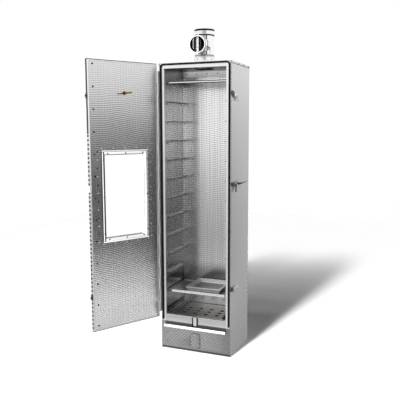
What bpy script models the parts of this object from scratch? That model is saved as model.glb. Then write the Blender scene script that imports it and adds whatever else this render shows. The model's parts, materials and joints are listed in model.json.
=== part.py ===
"""Upright double-walled smoking cabinet with a glazed door, rack rails, fire chamber and damped flue.

Metres, +Z up. The origin is on the floor at the centre of the cabinet's footprint, and the door is at -Y.
"""

import bmesh
import bpy
from math import cos, pi, radians, sin, tan
from mathutils import Matrix, Vector

MM = 0.001

# Cabinet
WIDTH = 390 * MM
DEPTH = 294 * MM
HEIGHT = 1500 * MM
SHEET = 1.2 * MM
GAP = 0.3 * MM
SIDE_WALL = 20 * MM
BACK_WALL = 40 * MM
CEILING_DROP = 20 * MM
FRONT_RETURN = 9 * MM
COVER_FLANGE = 13 * MM
BASE_FLANGE = 15 * MM

# Door opening
OPENING_HALF_WIDTH = 168 * MM
OPENING_TOP = HEIGHT - 27 * MM
REVEAL_DEPTH = 12 * MM
LOWER_PANEL_TOP = 150 * MM
SILL_TOP = 189 * MM
SILL_DEPTH = 22 * MM
GASKET_RADIUS = 4.5 * MM
GASKET_SIDE_EDGE = 6 * MM
GASKET_TOP_EDGE = 2.5 * MM
GASKET_CORNER = 15 * MM
GASKET_BOTTOM = 160 * MM

# Gutter and spout
GUTTER_HALF_WIDTH = 172 * MM
GUTTER_BOTTOM = 124 * MM
GUTTER_LIP = 138 * MM
GUTTER_REACH = 20 * MM
SPOUT_CENTRE_X = -2 * MM
SPOUT_WIDTH = 26 * MM
SPOUT_BOTTOM = 130 * MM
SPOUT_TOP = 188 * MM
SPOUT_FLANGE = 5 * MM

# Air inlet
INLET_HALF_WIDTH = 20 * MM
INLET_BOTTOM = 28 * MM
INLET_TOP = 82 * MM
FLAP_WIDTH = 54 * MM
FLAP_BOTTOM = 19 * MM
FLAP_TOP = 100 * MM
FLAP_CORNER = 12 * MM
FLAP_PIVOT_Z = 94 * MM
FLAP_SCREW_RADIUS = 2.2 * MM

# Rack rails
RAIL_LEVELS = 12
RAIL_FIRST = 310 * MM
RAIL_PITCH = 100 * MM
RAIL_REACH = 25 * MM
RAIL_LEG = 18 * MM
RAIL_THICKNESS = 1.5 * MM
RAIL_FRONT = -112 * MM
RAIL_BACK = 105 * MM
RAIL_STRIP_WIDTH = 14 * MM
RAIL_STRIP_Y = (-90 * MM, 66 * MM)

# Loose pieces
TRAY_HALF_WIDTH = 165 * MM
LIP_HALF_WIDTH = 149 * MM
TRAY_LIP_HEIGHT = 13 * MM
TRAY_EDGE = 6 * MM
LOOSE_BACK = 102 * MM
PAN_LEFT = -75 * MM
PAN_RIGHT = 117 * MM
PAN_FRONT = -98 * MM
PAN_BACK = 98 * MM
PAN_HEIGHT = 23 * MM
PAN_FLARE = 9 * MM
FLOOR_TOP = 185 * MM
FLOOR_HALF_WIDTH = 138 * MM
FLOOR_FRONT = -118 * MM
FLOOR_HOLE_RADIUS = 11.5 * MM
FLOOR_HOLE_X = (-93 * MM, -31 * MM, 31 * MM, 93 * MM)
FLOOR_HOLE_Y = (-69 * MM, -29 * MM, 12 * MM)
FLOOR_EDGE = 10 * MM
LEDGE_REACH = 46 * MM
STAND_TOP = 44 * MM
CHIP_PAN_HALF_WIDTH = 115 * MM
CHIP_PAN_HALF_DEPTH = 88 * MM
CHIP_PAN_HEIGHT = 40 * MM

# Header
HEADER_BOTTOM = 1446 * MM
HEADER_THICKNESS = 2 * MM

# Flue
FLUE_Y = -10 * MM
FLUE_RADIUS = 49.5 * MM
FLUE_WALL = 1.5 * MM
SLEEVE_RADIUS = 51.3 * MM
COLLAR_BOTTOM = 1476 * MM
COLLAR_TOP = 1546 * MM
COLLAR_FLANGE_RADIUS = 62 * MM
TEE_TOP = 1640 * MM
SPIGOT = 12 * MM
SOCKET_TOP = 1673 * MM
RIM_RADIUS = 53 * MM
BRANCH_Z = 1589.5 * MM
BRANCH_RADIUS = 42.5 * MM
BRANCH_REACH = 102 * MM
MOUTH_LIP = 3.5 * MM
DAMPER_RADIUS = 38.5 * MM
DAMPER_THICKNESS = 1.5 * MM
DAMPER_REACH = 88 * MM
AXLE_RADIUS = 3 * MM
AXLE_OVERHANG = 9 * MM
DAMPER_REST = radians(68)

# Hinge
HINGE_X = -199 * MM
HINGE_Y = -156 * MM
KNUCKLE_RADIUS = 3.5 * MM
PIN_RADIUS = 1.5 * MM
HINGE_BOTTOM = 202 * MM
HINGE_KNUCKLES = 21
KNUCKLE_PITCH = 60 * MM
LEAF_WIDTH = 24 * MM
DOOR_OPEN = radians(120)

# Door, in its own frame: x from the hinge axis along the door, y through it with the outside at -y
DOOR_HINGE_EDGE = 4.3 * MM
DOOR_FREE_EDGE = 393.7 * MM
DOOR_BOTTOM = 175 * MM
DOOR_TOP = 1498 * MM
DOOR_INNER = -0.5 * MM
DOOR_OUTER = -20.5 * MM
WINDOW_LEFT = 70.5 * MM
WINDOW_RIGHT = 323.5 * MM
WINDOW_BOTTOM = 628 * MM
WINDOW_TOP = 1055.5 * MM
WINDOW_BEAD = 15 * MM
BEAD_HEIGHT = 3.5 * MM
GLASS = 3 * MM
THERMOMETER_Z = 1345 * MM
THERMOMETER_X = 195 * MM
STEM_RADIUS = 4.5 * MM
STEM_REACH = 68 * MM
NUT_RADIUS = 8 * MM
NUT_HEIGHT = 6 * MM
DIAL_RADIUS = 32 * MM
DIAL_DEPTH = 14 * MM
DIAL_RECESS = 7 * MM

# Latches
LATCH_Y = -96 * MM
LATCH_TOP_Z = 1330 * MM
LATCH_MIDDLE_Z = 888 * MM
LATCH_BOTTOM_Z = 352 * MM
STRIKE_Y = -10.5 * MM
STRIKE_PIN_RADIUS = 4 * MM
STUD_RADIUS = 4 * MM
HOOK_THICKNESS = 4.5 * MM
HOOK_INNER_X = 203 * MM
HOOK_DROOP = radians(3)
HOOK_RAISED = radians(12)
HOOK_RISE = 13 * MM
LEVER_RISE = 8.5 * MM
TAIL_DOWN = ((-36 * MM, -9 * MM), (-32 * MM, -18 * MM))
TAIL_UP = ((-32 * MM, 18 * MM), (-36 * MM, 9 * MM))
TAIL_LEVEL = ((-24 * MM, 17 * MM), (-26 * MM, 5 * MM))
FINGER_LENGTH = 34 * MM
GRIP_ANGLE = radians(9)
GRIP_FOOT = (17 * MM, 11 * MM)
GRIP_LENGTH = 118 * MM
GRIP_RADIUS = 5 * MM

SIDE = WIDTH / 2
FRONT = -DEPTH / 2
BACK = DEPTH / 2
LINER_X = SIDE - SIDE_WALL
LINER_BACK = BACK - BACK_WALL
CEILING = HEIGHT - CEILING_DROP
COVER_UNDERSIDE = HEIGHT - SHEET
FRAME_BACK = FRONT + SHEET
INSIDE_FRONT = FRAME_BACK + SHEET + 2 * GAP

# The hooks hang down by the droop when closed, so their catch pins sit below the studs.
STRIKE_DISTANCE = LATCH_Y - (HINGE_Y + STRIKE_Y)
STRIKE_DROP = STRIKE_DISTANCE * tan(HOOK_DROOP)
HOOK_REACH = STRIKE_DISTANCE / cos(HOOK_DROOP)

TUBE_SIDES = 40
ROD_SIDES = 16


def clear_scene():
    for obj in list(bpy.data.objects):
        bpy.data.objects.remove(obj, do_unlink=True)


def add_collection(name):
    collection = bpy.data.collections.new(name)
    bpy.context.scene.collection.children.link(collection)
    return collection


clear_scene()
PARTS = add_collection("smoking_cabinet")
CUTTERS = add_collection("cutters")
CUTTERS.hide_render = True


# ---------------------------------------------------------------- materials


def material(name, colour, roughness, metallic, transmission=0.0):
    mat = bpy.data.materials.new(name)
    mat.use_nodes = True
    shader = mat.node_tree.nodes["Principled BSDF"]
    shader.inputs["Base Color"].default_value = (*colour, 1)
    shader.inputs["Roughness"].default_value = roughness
    shader.inputs["Metallic"].default_value = metallic
    shader.inputs["Transmission Weight"].default_value = transmission
    return mat


SATIN_STEEL = material("satin_steel", (0.62, 0.62, 0.61), 0.34, 1.0)
BRIGHT_STEEL = material("bright_steel", (0.80, 0.80, 0.79), 0.16, 1.0)
EMBOSSED_STEEL = material("embossed_steel", (0.55, 0.55, 0.54), 0.38, 1.0)
DARK_STEEL = material("dark_steel", (0.05, 0.05, 0.05), 0.45, 0.8)
TRAY_STEEL = material("tray_steel", (0.45, 0.45, 0.44), 0.35, 1.0)
RUBBER = material("black_rubber", (0.01, 0.01, 0.01), 0.6, 0.0)
WOOL = material("mineral_wool", (0.55, 0.48, 0.30), 0.95, 0.0)
GLASS_CLEAR = material("clear_glass", (0.95, 0.97, 0.97), 0.02, 0.0, 1.0)
BRASS = material("brass", (0.55, 0.40, 0.12), 0.3, 1.0)
NEEDLE_RED = material("needle_red", (0.55, 0.03, 0.02), 0.4, 0.0)


# ---------------------------------------------------------------- shape tools


def place(name, mesh, mat=None, parent=None, location=(0, 0, 0), rotation=(0, 0, 0)):
    """Links a mesh as a part, or as a hidden cutter if it has no material."""
    obj = bpy.data.objects.new(name, mesh)
    obj.parent = parent
    obj.location = location
    obj.rotation_euler = rotation
    if mat:
        mesh.materials.append(mat)
        PARTS.objects.link(obj)
    else:
        CUTTERS.objects.link(obj)
        obj.hide_render = True
        obj.display_type = "WIRE"
    return obj


def pivot(name, location, rotation=(0, 0, 0)):
    empty = bpy.data.objects.new(name, None)
    empty.location = location
    empty.rotation_euler = rotation
    PARTS.objects.link(empty)
    return empty


def mesh_from(bm, name):
    mesh = bpy.data.meshes.new(name)
    bm.to_mesh(mesh)
    bm.free()
    return mesh


def box(name, low, high, mat=None, parent=None):
    low, high = Vector(low), Vector(high)
    bm = bmesh.new()
    bmesh.ops.create_cube(bm, size=1)
    bmesh.ops.scale(bm, vec=high - low, verts=bm.verts)
    return place(name, mesh_from(bm, name), mat, parent, (low + high) / 2)


def rod(name, start, end, radius, mat=None, parent=None, sides=ROD_SIDES):
    """A cylinder between two points."""
    start, end = Vector(start), Vector(end)
    bm = bmesh.new()
    bmesh.ops.create_cone(
        bm,
        cap_ends=True,
        segments=sides,
        radius1=radius,
        radius2=radius,
        depth=(end - start).length,
    )
    mesh = mesh_from(bm, name)
    mesh.shade_smooth()
    mesh.set_sharp_from_angle(angle=radians(40))
    turn = (end - start).to_track_quat("Z", "Y").to_euler()
    return place(name, mesh, mat, parent, (start + end) / 2, turn)


def folded_sheet(name, lines, start, end, mat, parent=None, along="Z", thickness=SHEET):
    """Bent sheets: lines of (a, b) points through the sheet's middle, swept along one axis and thickened."""
    axes = {"X": (2, 0, 1), "Y": (0, 2, 1), "Z": (0, 1, 2)}[along]
    bm = bmesh.new()
    for line in lines:
        verts = [bm.verts.new([(a, b, start)[i] for i in axes]) for a, b in line]
        for first, second in zip(verts, verts[1:]):
            bm.edges.new((first, second))
    swept = bmesh.ops.extrude_edge_only(bm, edges=bm.edges)["geom"]
    step = Vector([(0, 0, end - start)[i] for i in axes])
    new_verts = [v for v in swept if isinstance(v, bmesh.types.BMVert)]
    bmesh.ops.translate(bm, vec=step, verts=new_verts)
    obj = place(name, mesh_from(bm, name), mat, parent)
    solid = obj.modifiers.new("thickness", "SOLIDIFY")
    solid.thickness = thickness
    solid.offset = 0
    solid.use_even_offset = True
    return obj


def turned(name, profile, mat=None, parent=None, location=(0, 0, 0), sides=TUBE_SIDES):
    """A ring turned about Z from a closed profile of (radius, height), which runs down its outer side."""
    bm = bmesh.new()
    verts = [bm.verts.new((r, 0, z)) for r, z in profile]
    for first, second in zip(verts, verts[1:] + verts[:1]):
        bm.edges.new((first, second))
    mesh = mesh_from(bm, name)
    obj = place(name, mesh, mat, parent, location)
    screw = obj.modifiers.new("turn", "SCREW")
    screw.steps = sides
    screw.render_steps = sides
    screw.use_merge_vertices = True
    screw.merge_threshold = 0.00001
    screw.use_smooth_shade = False
    return obj


def arc(centre, radius, start, end, steps):
    """Points on a circle from one angle to another, in degrees."""
    turns = [radians(start + (end - start) * i / steps) for i in range(steps + 1)]
    return [(centre[0] + radius * cos(t), centre[1] + radius * sin(t)) for t in turns]


def mesh_of_curve(curve_obj, name, mat, parent=None, matrix=Matrix()):
    """Turns a curve object into a closed mesh part or cutter, and removes the curve."""
    CUTTERS.objects.link(curve_obj)
    bpy.context.view_layer.update()
    graph = bpy.context.evaluated_depsgraph_get()
    mesh = bpy.data.meshes.new_from_object(curve_obj.evaluated_get(graph))
    mesh.transform(curve_obj.matrix_world)
    mesh.transform(matrix)
    bpy.data.objects.remove(curve_obj, do_unlink=True)
    bm = bmesh.new()
    bm.from_mesh(mesh)
    bmesh.ops.remove_doubles(bm, verts=bm.verts, dist=0.00001)
    bmesh.ops.recalc_face_normals(bm, faces=bm.faces)
    bm.to_mesh(mesh)
    bm.free()
    mesh.materials.clear()
    return place(name, mesh, mat, parent)


def plate(name, outline, thickness, mat=None, parent=None, matrix=Matrix()):
    """A flat outline of (x, y) points, thickened evenly about z = 0 and then moved by a matrix."""
    data = bpy.data.curves.new(name, "CURVE")
    data.dimensions = "2D"
    data.fill_mode = "BOTH"
    data.extrude = thickness / 2
    spline = data.splines.new("POLY")
    spline.points.add(len(outline) - 1)
    for point, (x, y) in zip(spline.points, outline):
        point.co = (x, y, 0, 1)
    spline.use_cyclic_u = True
    return mesh_of_curve(bpy.data.objects.new(name, data), name, mat, parent, matrix)


def wire(name, path, radius, mat, parent=None, sides=3):
    """A round bar along a line of points, with filled ends."""
    data = bpy.data.curves.new(name, "CURVE")
    data.dimensions = "3D"
    data.bevel_depth = radius
    data.bevel_resolution = sides
    data.use_fill_caps = True
    spline = data.splines.new("POLY")
    spline.points.add(len(path) - 1)
    for point, co in zip(spline.points, path):
        point.co = (*co, 1)
    return mesh_of_curve(bpy.data.objects.new(name, data), name, mat, parent)


def boolean(target, other, operation):
    modifier = target.modifiers.new(f"{operation.lower()} {other.name}", "BOOLEAN")
    modifier.operation = operation
    modifier.solver = "EXACT"
    modifier.object = other
    return target


def cut(target, *others):
    for other in others:
        boolean(target, other, "DIFFERENCE")
    return target


def weld(target, *others):
    for other in others:
        boolean(target, other, "UNION")
    return target


def bevel(obj, width, segments=2):
    modifier = obj.modifiers.new("edges", "BEVEL")
    modifier.width = width
    modifier.segments = segments
    modifier.limit_method = "ANGLE"
    modifier.angle_limit = radians(40)
    return obj


def tray(name, low, high, thickness, mat, open_front=False, parent=None):
    """A box with an open top, and with an open front if asked."""
    low, high = Vector(low), Vector(high)
    inner_low = low + Vector((thickness, thickness, thickness))
    inner_high = high - Vector((thickness, thickness, -1 * MM))
    if open_front:
        inner_low.y = low.y - 1 * MM
    body = box(name, low, high, mat, parent)
    return cut(body, box(f"{name}_hollow", inner_low, inner_high, parent=parent))


# ---------------------------------------------------------------- cabinet shell


def build_casing():
    x = SIDE - SHEET / 2
    y = BACK - SHEET / 2
    inner = SIDE - FRONT_RETURN
    line = [(-inner, -y), (-x, -y), (-x, y), (x, y), (x, -y), (inner, -y)]
    folded_sheet("outer_casing", [line], 0, COVER_UNDERSIDE - GAP, SATIN_STEEL)


def flue_cutter(name, bottom, top):
    return rod(
        name,
        (0, FLUE_Y, bottom),
        (0, FLUE_Y, top),
        SLEEVE_RADIUS + GAP,
        sides=TUBE_SIDES,
    )


def build_top_cover():
    reach = SIDE + GAP
    outer = reach + SHEET
    low = (-outer, FRONT, HEIGHT - COVER_FLANGE)
    high = (outer, BACK + GAP + SHEET, HEIGHT)
    cover = box("top_cover", low, high, SATIN_STEEL)
    inside = box(
        "cover_hollow",
        (-reach, FRONT - SHEET, HEIGHT - 2 * COVER_FLANGE),
        (reach, BACK + GAP, COVER_UNDERSIDE),
    )
    cut(cover, inside, flue_cutter("cover_flue_hole", HEIGHT - SIDE_WALL, HEIGHT + SIDE_WALL))


def build_base_pan():
    x = SIDE - SHEET - GAP
    y = BACK - SHEET - GAP
    tray("base_pan", (-x, -y, 0), (x, y, BASE_FLANGE), SHEET, SATIN_STEEL)


def build_liner():
    front = INSIDE_FRONT
    x = LINER_X + SHEET / 2
    y = LINER_BACK + SHEET / 2
    top = CEILING - GAP - SHEET
    line = [(-x, front), (-x, y), (x, y), (x, front)]
    folded_sheet("inner_liner", [line], SHEET + GAP, top, EMBOSSED_STEEL)
    ceiling = box(
        "inner_ceiling",
        (-LINER_X - SHEET, front, CEILING - SHEET),
        (LINER_X + SHEET, LINER_BACK + SHEET, CEILING),
        EMBOSSED_STEEL,
    )
    cut(ceiling, flue_cutter("ceiling_flue_hole", CEILING - SIDE_WALL, CEILING + SIDE_WALL))


def build_insulation():
    outer_x = SIDE - SHEET - GAP
    inner_x = LINER_X + SHEET + GAP
    front = INSIDE_FRONT
    back = BACK - SHEET - GAP
    bottom = BASE_FLANGE + GAP
    top = CEILING - SHEET - GAP
    box("insulation_left", (-outer_x, front, bottom), (-inner_x, back, top), WOOL)
    box("insulation_right", (inner_x, front, bottom), (outer_x, back, top), WOOL)
    box(
        "insulation_back",
        (-inner_x + GAP, LINER_BACK + SHEET + GAP, bottom),
        (inner_x - GAP, back, top),
        WOOL,
    )
    lid = box(
        "insulation_top",
        (-outer_x, front, CEILING + GAP),
        (outer_x, back, COVER_UNDERSIDE - GAP),
        WOOL,
    )
    cut(lid, flue_cutter("wool_flue_hole", CEILING - SIDE_WALL, HEIGHT + SIDE_WALL))


def build_front_frame():
    edge = SIDE - FRONT_RETURN - GAP
    top = COVER_UNDERSIDE - GAP
    opening_low = (-OPENING_HALF_WIDTH, FRONT - SHEET, 0)
    opening_high = (OPENING_HALF_WIDTH, 0, OPENING_TOP)
    frame = box("front_frame", (-edge, FRONT, LOWER_PANEL_TOP + GAP), (edge, FRAME_BACK, top), BRIGHT_STEEL)
    reveal = box(
        "reveal_block",
        (-OPENING_HALF_WIDTH - SHEET, FRONT + SHEET / 2, LOWER_PANEL_TOP + GAP),
        (OPENING_HALF_WIDTH + SHEET, FRONT + REVEAL_DEPTH, OPENING_TOP + SHEET),
    )
    weld(frame, reveal)
    cut(frame, box("door_opening", opening_low, opening_high))


def build_sill():
    y = FRONT + SHEET / 2
    z = SILL_TOP - SHEET / 2
    x = OPENING_HALF_WIDTH - GAP
    line = [(y, LOWER_PANEL_TOP + GAP), (y, z), (FRONT + SILL_DEPTH, z)]
    folded_sheet("sill_strip", [line], -x, x, BRIGHT_STEEL, along="X")


def build_gasket():
    x = SIDE - GASKET_SIDE_EDGE - GASKET_RADIUS
    z = HEIGHT - GASKET_TOP_EDGE - GASKET_RADIUS
    y = FRONT - GAP - GASKET_RADIUS
    left = arc((-x + GASKET_CORNER, z - GASKET_CORNER), GASKET_CORNER, 180, 90, 6)
    right = arc((x - GASKET_CORNER, z - GASKET_CORNER), GASKET_CORNER, 90, 0, 6)
    outline = [(-x, GASKET_BOTTOM), *left, *right, (x, GASKET_BOTTOM)]
    wire("door_gasket", [(a, y, b) for a, b in outline], GASKET_RADIUS, RUBBER)


def build_lower_front():
    front = FRONT - GAP - SHEET
    x = SIDE - GAP
    panel = box("lower_front_panel", (-x, front, SHEET), (x, FRONT - GAP, LOWER_PANEL_TOP - GAP), SATIN_STEEL)
    inlet = box(
        "air_inlet",
        (-INLET_HALF_WIDTH, front - SHEET, INLET_BOTTOM),
        (INLET_HALF_WIDTH, FRONT + SHEET, INLET_TOP),
    )
    bevel(inlet, 5 * MM, 3)
    screw_hole = rod(
        "flap_screw_hole",
        (0, front - SHEET, FLAP_PIVOT_Z),
        (0, FRONT + SHEET, FLAP_PIVOT_Z),
        FLAP_SCREW_RADIUS + GAP,
    )
    cut(panel, inlet, screw_hole)
    return front


def build_air_flap(panel_front):
    back = panel_front - GAP
    front = back - SHEET
    hinge = pivot("air_flap_pivot", (0, back, FLAP_PIVOT_Z))
    half = FLAP_WIDTH / 2
    low = FLAP_BOTTOM - FLAP_PIVOT_Z
    high = FLAP_TOP - FLAP_PIVOT_Z
    r = FLAP_CORNER
    outline = [
        (-half, low),
        (half, low),
        *arc((half - r, high - r), r, 0, 90, 5),
        *arc((-half + r, high - r), r, 90, 180, 5),
    ]
    upright = Matrix.Translation((0, -SHEET / 2, 0)) @ Matrix.Rotation(pi / 2, 4, "X")
    flap = plate("air_flap", outline, SHEET, SATIN_STEEL, hinge, upright)
    cut(
        flap,
        rod(
            "flap_hole",
            (0, -4 * SHEET, 0),
            (0, 4 * SHEET, 0),
            FLAP_SCREW_RADIUS + GAP,
            parent=hinge,
        ),
    )
    head_back = front - GAP
    screw = rod(
        "flap_screw",
        (0, head_back - 0.1 * MM, FLAP_PIVOT_Z),
        (0, FRONT + 4 * SHEET, FLAP_PIVOT_Z),
        FLAP_SCREW_RADIUS,
        BRIGHT_STEEL,
    )
    head = rod(
        "flap_screw_head",
        (0, head_back - 2.5 * MM, FLAP_PIVOT_Z),
        (0, head_back, FLAP_PIVOT_Z),
        2 * FLAP_SCREW_RADIUS,
    )
    weld(screw, head)


def build_gutter(panel_front):
    back = panel_front - GAP
    front = FRONT - GUTTER_REACH
    half = SHEET / 2
    line = [
        (back - half, LOWER_PANEL_TOP - GAP),
        (back - half, GUTTER_BOTTOM + half),
        (front + half, GUTTER_BOTTOM + half),
        (front + half, GUTTER_LIP),
    ]
    x = GUTTER_HALF_WIDTH
    trough = folded_sheet("drip_gutter", [line], -x, x, BRIGHT_STEEL, along="X")
    for side in (-1, 1):
        cap_x = side * (x - SHEET)
        cap = box(
            f"gutter_end_{side}",
            (min(cap_x, side * x), front, GUTTER_BOTTOM),
            (max(cap_x, side * x), back, GUTTER_LIP),
        )
        weld(trough, cap)
    return back - SHEET


def build_spout(gutter_wall):
    back = gutter_wall - GAP
    left = SPOUT_CENTRE_X - SPOUT_WIDTH / 2
    right = SPOUT_CENTRE_X + SPOUT_WIDTH / 2
    front = back - SPOUT_FLANGE
    middle = back - SHEET / 2
    line = [(left, front), (left, middle), (right, middle), (right, front)]
    spout = folded_sheet("drain_spout", [line], SPOUT_BOTTOM, SPOUT_TOP, BRIGHT_STEEL)
    bridge = box(
        "spout_bridge",
        (left, back - SHEET, SPOUT_TOP - 2 * SHEET),
        (right, FRONT - GAP, SPOUT_TOP),
    )
    weld(spout, bridge)


def build_header():
    box(
        "back_header",
        (-LINER_X + 1 * MM, LINER_BACK - GAP - HEADER_THICKNESS, HEADER_BOTTOM),
        (LINER_X - 1 * MM, LINER_BACK - GAP, CEILING - SHEET - GAP),
        SATIN_STEEL,
    )


def rail_heights():
    return [RAIL_FIRST + RAIL_PITCH * level for level in range(RAIL_LEVELS)]


def build_rail_rack(name, side):
    """The twelve angle runners of one side, held by two upright strips against the liner."""
    wall = side * (LINER_X - GAP)
    leg = wall - side * (SHEET + RAIL_THICKNESS / 2 - 0.2 * MM)
    tip = side * (LINER_X - RAIL_REACH)
    lines = []
    for top in rail_heights():
        z = top - RAIL_THICKNESS / 2
        lines.append([(leg, z - RAIL_LEG), (leg, z), (tip, z)])
    rack = folded_sheet(
        name, lines, RAIL_FRONT, RAIL_BACK, SATIN_STEEL, along="Y", thickness=RAIL_THICKNESS
    )
    for y in RAIL_STRIP_Y:
        strip = box(
            f"{name}_strip_{'front' if y < 0 else 'back'}",
            (min(wall, wall - side * SHEET), y, RAIL_FIRST - RAIL_LEG),
            (max(wall, wall - side * SHEET), y + RAIL_STRIP_WIDTH, rail_heights()[-1] - SHEET),
        )
        weld(rack, strip)


# ---------------------------------------------------------------- loose pieces inside


def build_shelf_tray():
    mover = pivot("shelf_slide", (0, RAIL_FRONT, RAIL_FIRST + GAP))
    depth = LOOSE_BACK - RAIL_FRONT
    body = tray(
        "shelf_tray",
        (-TRAY_HALF_WIDTH, 0, 0),
        (TRAY_HALF_WIDTH, depth, TRAY_EDGE),
        SHEET,
        TRAY_STEEL,
        open_front=True,
        parent=mover,
    )
    lip = box(
        "tray_lip",
        (-LIP_HALF_WIDTH, -2 * SHEET, TRAY_EDGE - TRAY_LIP_HEIGHT),
        (LIP_HALF_WIDTH, 0.5 * SHEET, TRAY_EDGE),
        parent=mover,
    )
    weld(body, lip)
    return mover.location.z + SHEET


def flared_block(name, low, high, flare, mat=None):
    """A box whose foot is narrower than its mouth by the flare on each side."""
    block = box(name, low, high, mat)
    size = Vector(high) - Vector(low)
    foot = [v for v in block.data.vertices if v.co.z < 0]
    for v in foot:
        v.co.x *= 1 - 2 * flare / size.x
        v.co.y *= 1 - 2 * flare / size.y
    return block


def build_mesh_pan(tray_floor):
    bottom = tray_floor + GAP
    low = (PAN_LEFT, PAN_FRONT, bottom)
    high = (PAN_RIGHT, PAN_BACK, bottom + PAN_HEIGHT)
    pan = flared_block("mesh_pan", low, high, PAN_FLARE, BRIGHT_STEEL)
    wall = Vector((2 * SHEET, 2 * SHEET, 0))
    hollow_low = Vector(low) + wall + Vector((0, 0, SHEET))
    hollow_high = Vector(high) - wall + Vector((0, 0, SHEET))
    hollow = flared_block("pan_hollow", hollow_low, hollow_high, PAN_FLARE)
    cut(pan, hollow)


def build_top_baffle():
    front = RAIL_FRONT - GAP - SHEET / 2
    mover = pivot("baffle_slide", (0, front, rail_heights()[-1] + GAP))
    depth = LOOSE_BACK - front
    sheet = box(
        "top_baffle", (-TRAY_HALF_WIDTH, 0, 0), (TRAY_HALF_WIDTH, depth, SHEET), BRIGHT_STEEL, mover
    )
    lip = box(
        "baffle_lip",
        (-TRAY_HALF_WIDTH, -SHEET, SHEET - TRAY_LIP_HEIGHT),
        (TRAY_HALF_WIDTH, 0.2 * SHEET, SHEET),
        parent=mover,
    )
    weld(sheet, lip)


def build_floor():
    top = FLOOR_TOP
    under = top - SHEET
    x = FLOOR_HALF_WIDTH
    floor = box("floor_plate", (-x, FLOOR_FRONT, under), (x, LOOSE_BACK, top), TRAY_STEEL)
    for side in (-1, 1):
        edge = box(
            f"floor_edge_{side}",
            (min(side * x, side * (x - SHEET)), FLOOR_FRONT, under),
            (max(side * x, side * (x - SHEET)), LOOSE_BACK, top + FLOOR_EDGE),
        )
        weld(floor, edge)
    for column, hole_x in enumerate(FLOOR_HOLE_X):
        for row, hole_y in enumerate(FLOOR_HOLE_Y):
            hole = rod(
                f"floor_hole_{column}_{row}",
                (hole_x, hole_y, under - 4 * SHEET),
                (hole_x, hole_y, top + 4 * SHEET),
                FLOOR_HOLE_RADIUS,
                sides=20,
            )
            cut(floor, hole)
    for name, side in (("floor_ledge_left", -1), ("floor_ledge_right", 1)):
        wall = side * (LINER_X - GAP - SHEET / 2)
        z = under - GAP - SHEET / 2
        line = [(wall, z + RAIL_LEG), (wall, z), (wall - side * LEDGE_REACH, z)]
        folded_sheet(name, [line], FLOOR_FRONT, LOOSE_BACK, SATIN_STEEL, along="Y")


def build_chip_pan():
    half = CHIP_PAN_HALF_WIDTH - RAIL_LEG
    floor = SHEET + GAP
    stand_line = [(-half, floor), (-half, STAND_TOP), (half, STAND_TOP), (half, floor)]
    depth = CHIP_PAN_HALF_DEPTH - RAIL_LEG
    folded_sheet("chip_pan_stand", [stand_line], -depth, depth, DARK_STEEL, along="Y")
    bottom = STAND_TOP + SHEET / 2 + GAP
    x = CHIP_PAN_HALF_WIDTH
    y = CHIP_PAN_HALF_DEPTH
    tray("chip_pan", (-x, -y, bottom), (x, y, bottom + CHIP_PAN_HEIGHT), SHEET, DARK_STEEL)


# ---------------------------------------------------------------- flue


def build_flue_collar():
    flange_bottom = HEIGHT + GAP
    inner = FLUE_RADIUS + GAP
    profile = [
        (SLEEVE_RADIUS, COLLAR_TOP),
        (SLEEVE_RADIUS, flange_bottom + SHEET),
        (COLLAR_FLANGE_RADIUS, flange_bottom + SHEET),
        (COLLAR_FLANGE_RADIUS, flange_bottom),
        (SLEEVE_RADIUS, flange_bottom),
        (SLEEVE_RADIUS, COLLAR_BOTTOM),
        (inner, COLLAR_BOTTOM),
        (inner, COLLAR_TOP),
    ]
    turned("flue_collar", profile, BRIGHT_STEEL, location=(0, FLUE_Y, 0))


def build_flue_tee():
    bottom = COLLAR_TOP - SPIGOT
    top = TEE_TOP + SPIGOT
    mouth = FLUE_Y - BRANCH_REACH
    tee = rod("flue_tee", (0, FLUE_Y, bottom), (0, FLUE_Y, top), FLUE_RADIUS, BRIGHT_STEEL, sides=TUBE_SIDES)
    weld(
        tee,
        rod(
            "branch_body", (0, FLUE_Y, BRANCH_Z), (0, mouth, BRANCH_Z), BRANCH_RADIUS, sides=TUBE_SIDES
        ),
    )
    axle_y = FLUE_Y - DAMPER_REACH
    inner = BRANCH_RADIUS - FLUE_WALL
    cut(
        tee,
        rod(
            "flue_bore",
            (0, FLUE_Y, bottom - SPIGOT),
            (0, FLUE_Y, top + SPIGOT),
            FLUE_RADIUS - FLUE_WALL,
            sides=TUBE_SIDES,
        ),
        rod(
            "branch_bore",
            (0, FLUE_Y, BRANCH_Z),
            (0, mouth + 2 * FLUE_WALL, BRANCH_Z),
            inner,
            sides=TUBE_SIDES,
        ),
        rod(
            "mouth_bore",
            (0, mouth + 4 * FLUE_WALL, BRANCH_Z),
            (0, mouth - 4 * FLUE_WALL, BRANCH_Z),
            BRANCH_RADIUS - MOUTH_LIP,
            sides=TUBE_SIDES,
        ),
        rod(
            "axle_bore",
            (0, axle_y, BRANCH_Z - 2 * BRANCH_RADIUS),
            (0, axle_y, BRANCH_Z + 2 * BRANCH_RADIUS),
            AXLE_RADIUS + GAP,
        ),
    )
    return axle_y


def build_flue_socket():
    inner = FLUE_RADIUS + GAP
    profile = [
        (RIM_RADIUS, SOCKET_TOP),
        (RIM_RADIUS, SOCKET_TOP - 4 * MM),
        (SLEEVE_RADIUS, SOCKET_TOP - 6 * MM),
        (SLEEVE_RADIUS, TEE_TOP),
        (inner, TEE_TOP),
        (inner, SOCKET_TOP),
    ]
    turned("flue_socket", profile, BRIGHT_STEEL, location=(0, FLUE_Y, 0))


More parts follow.
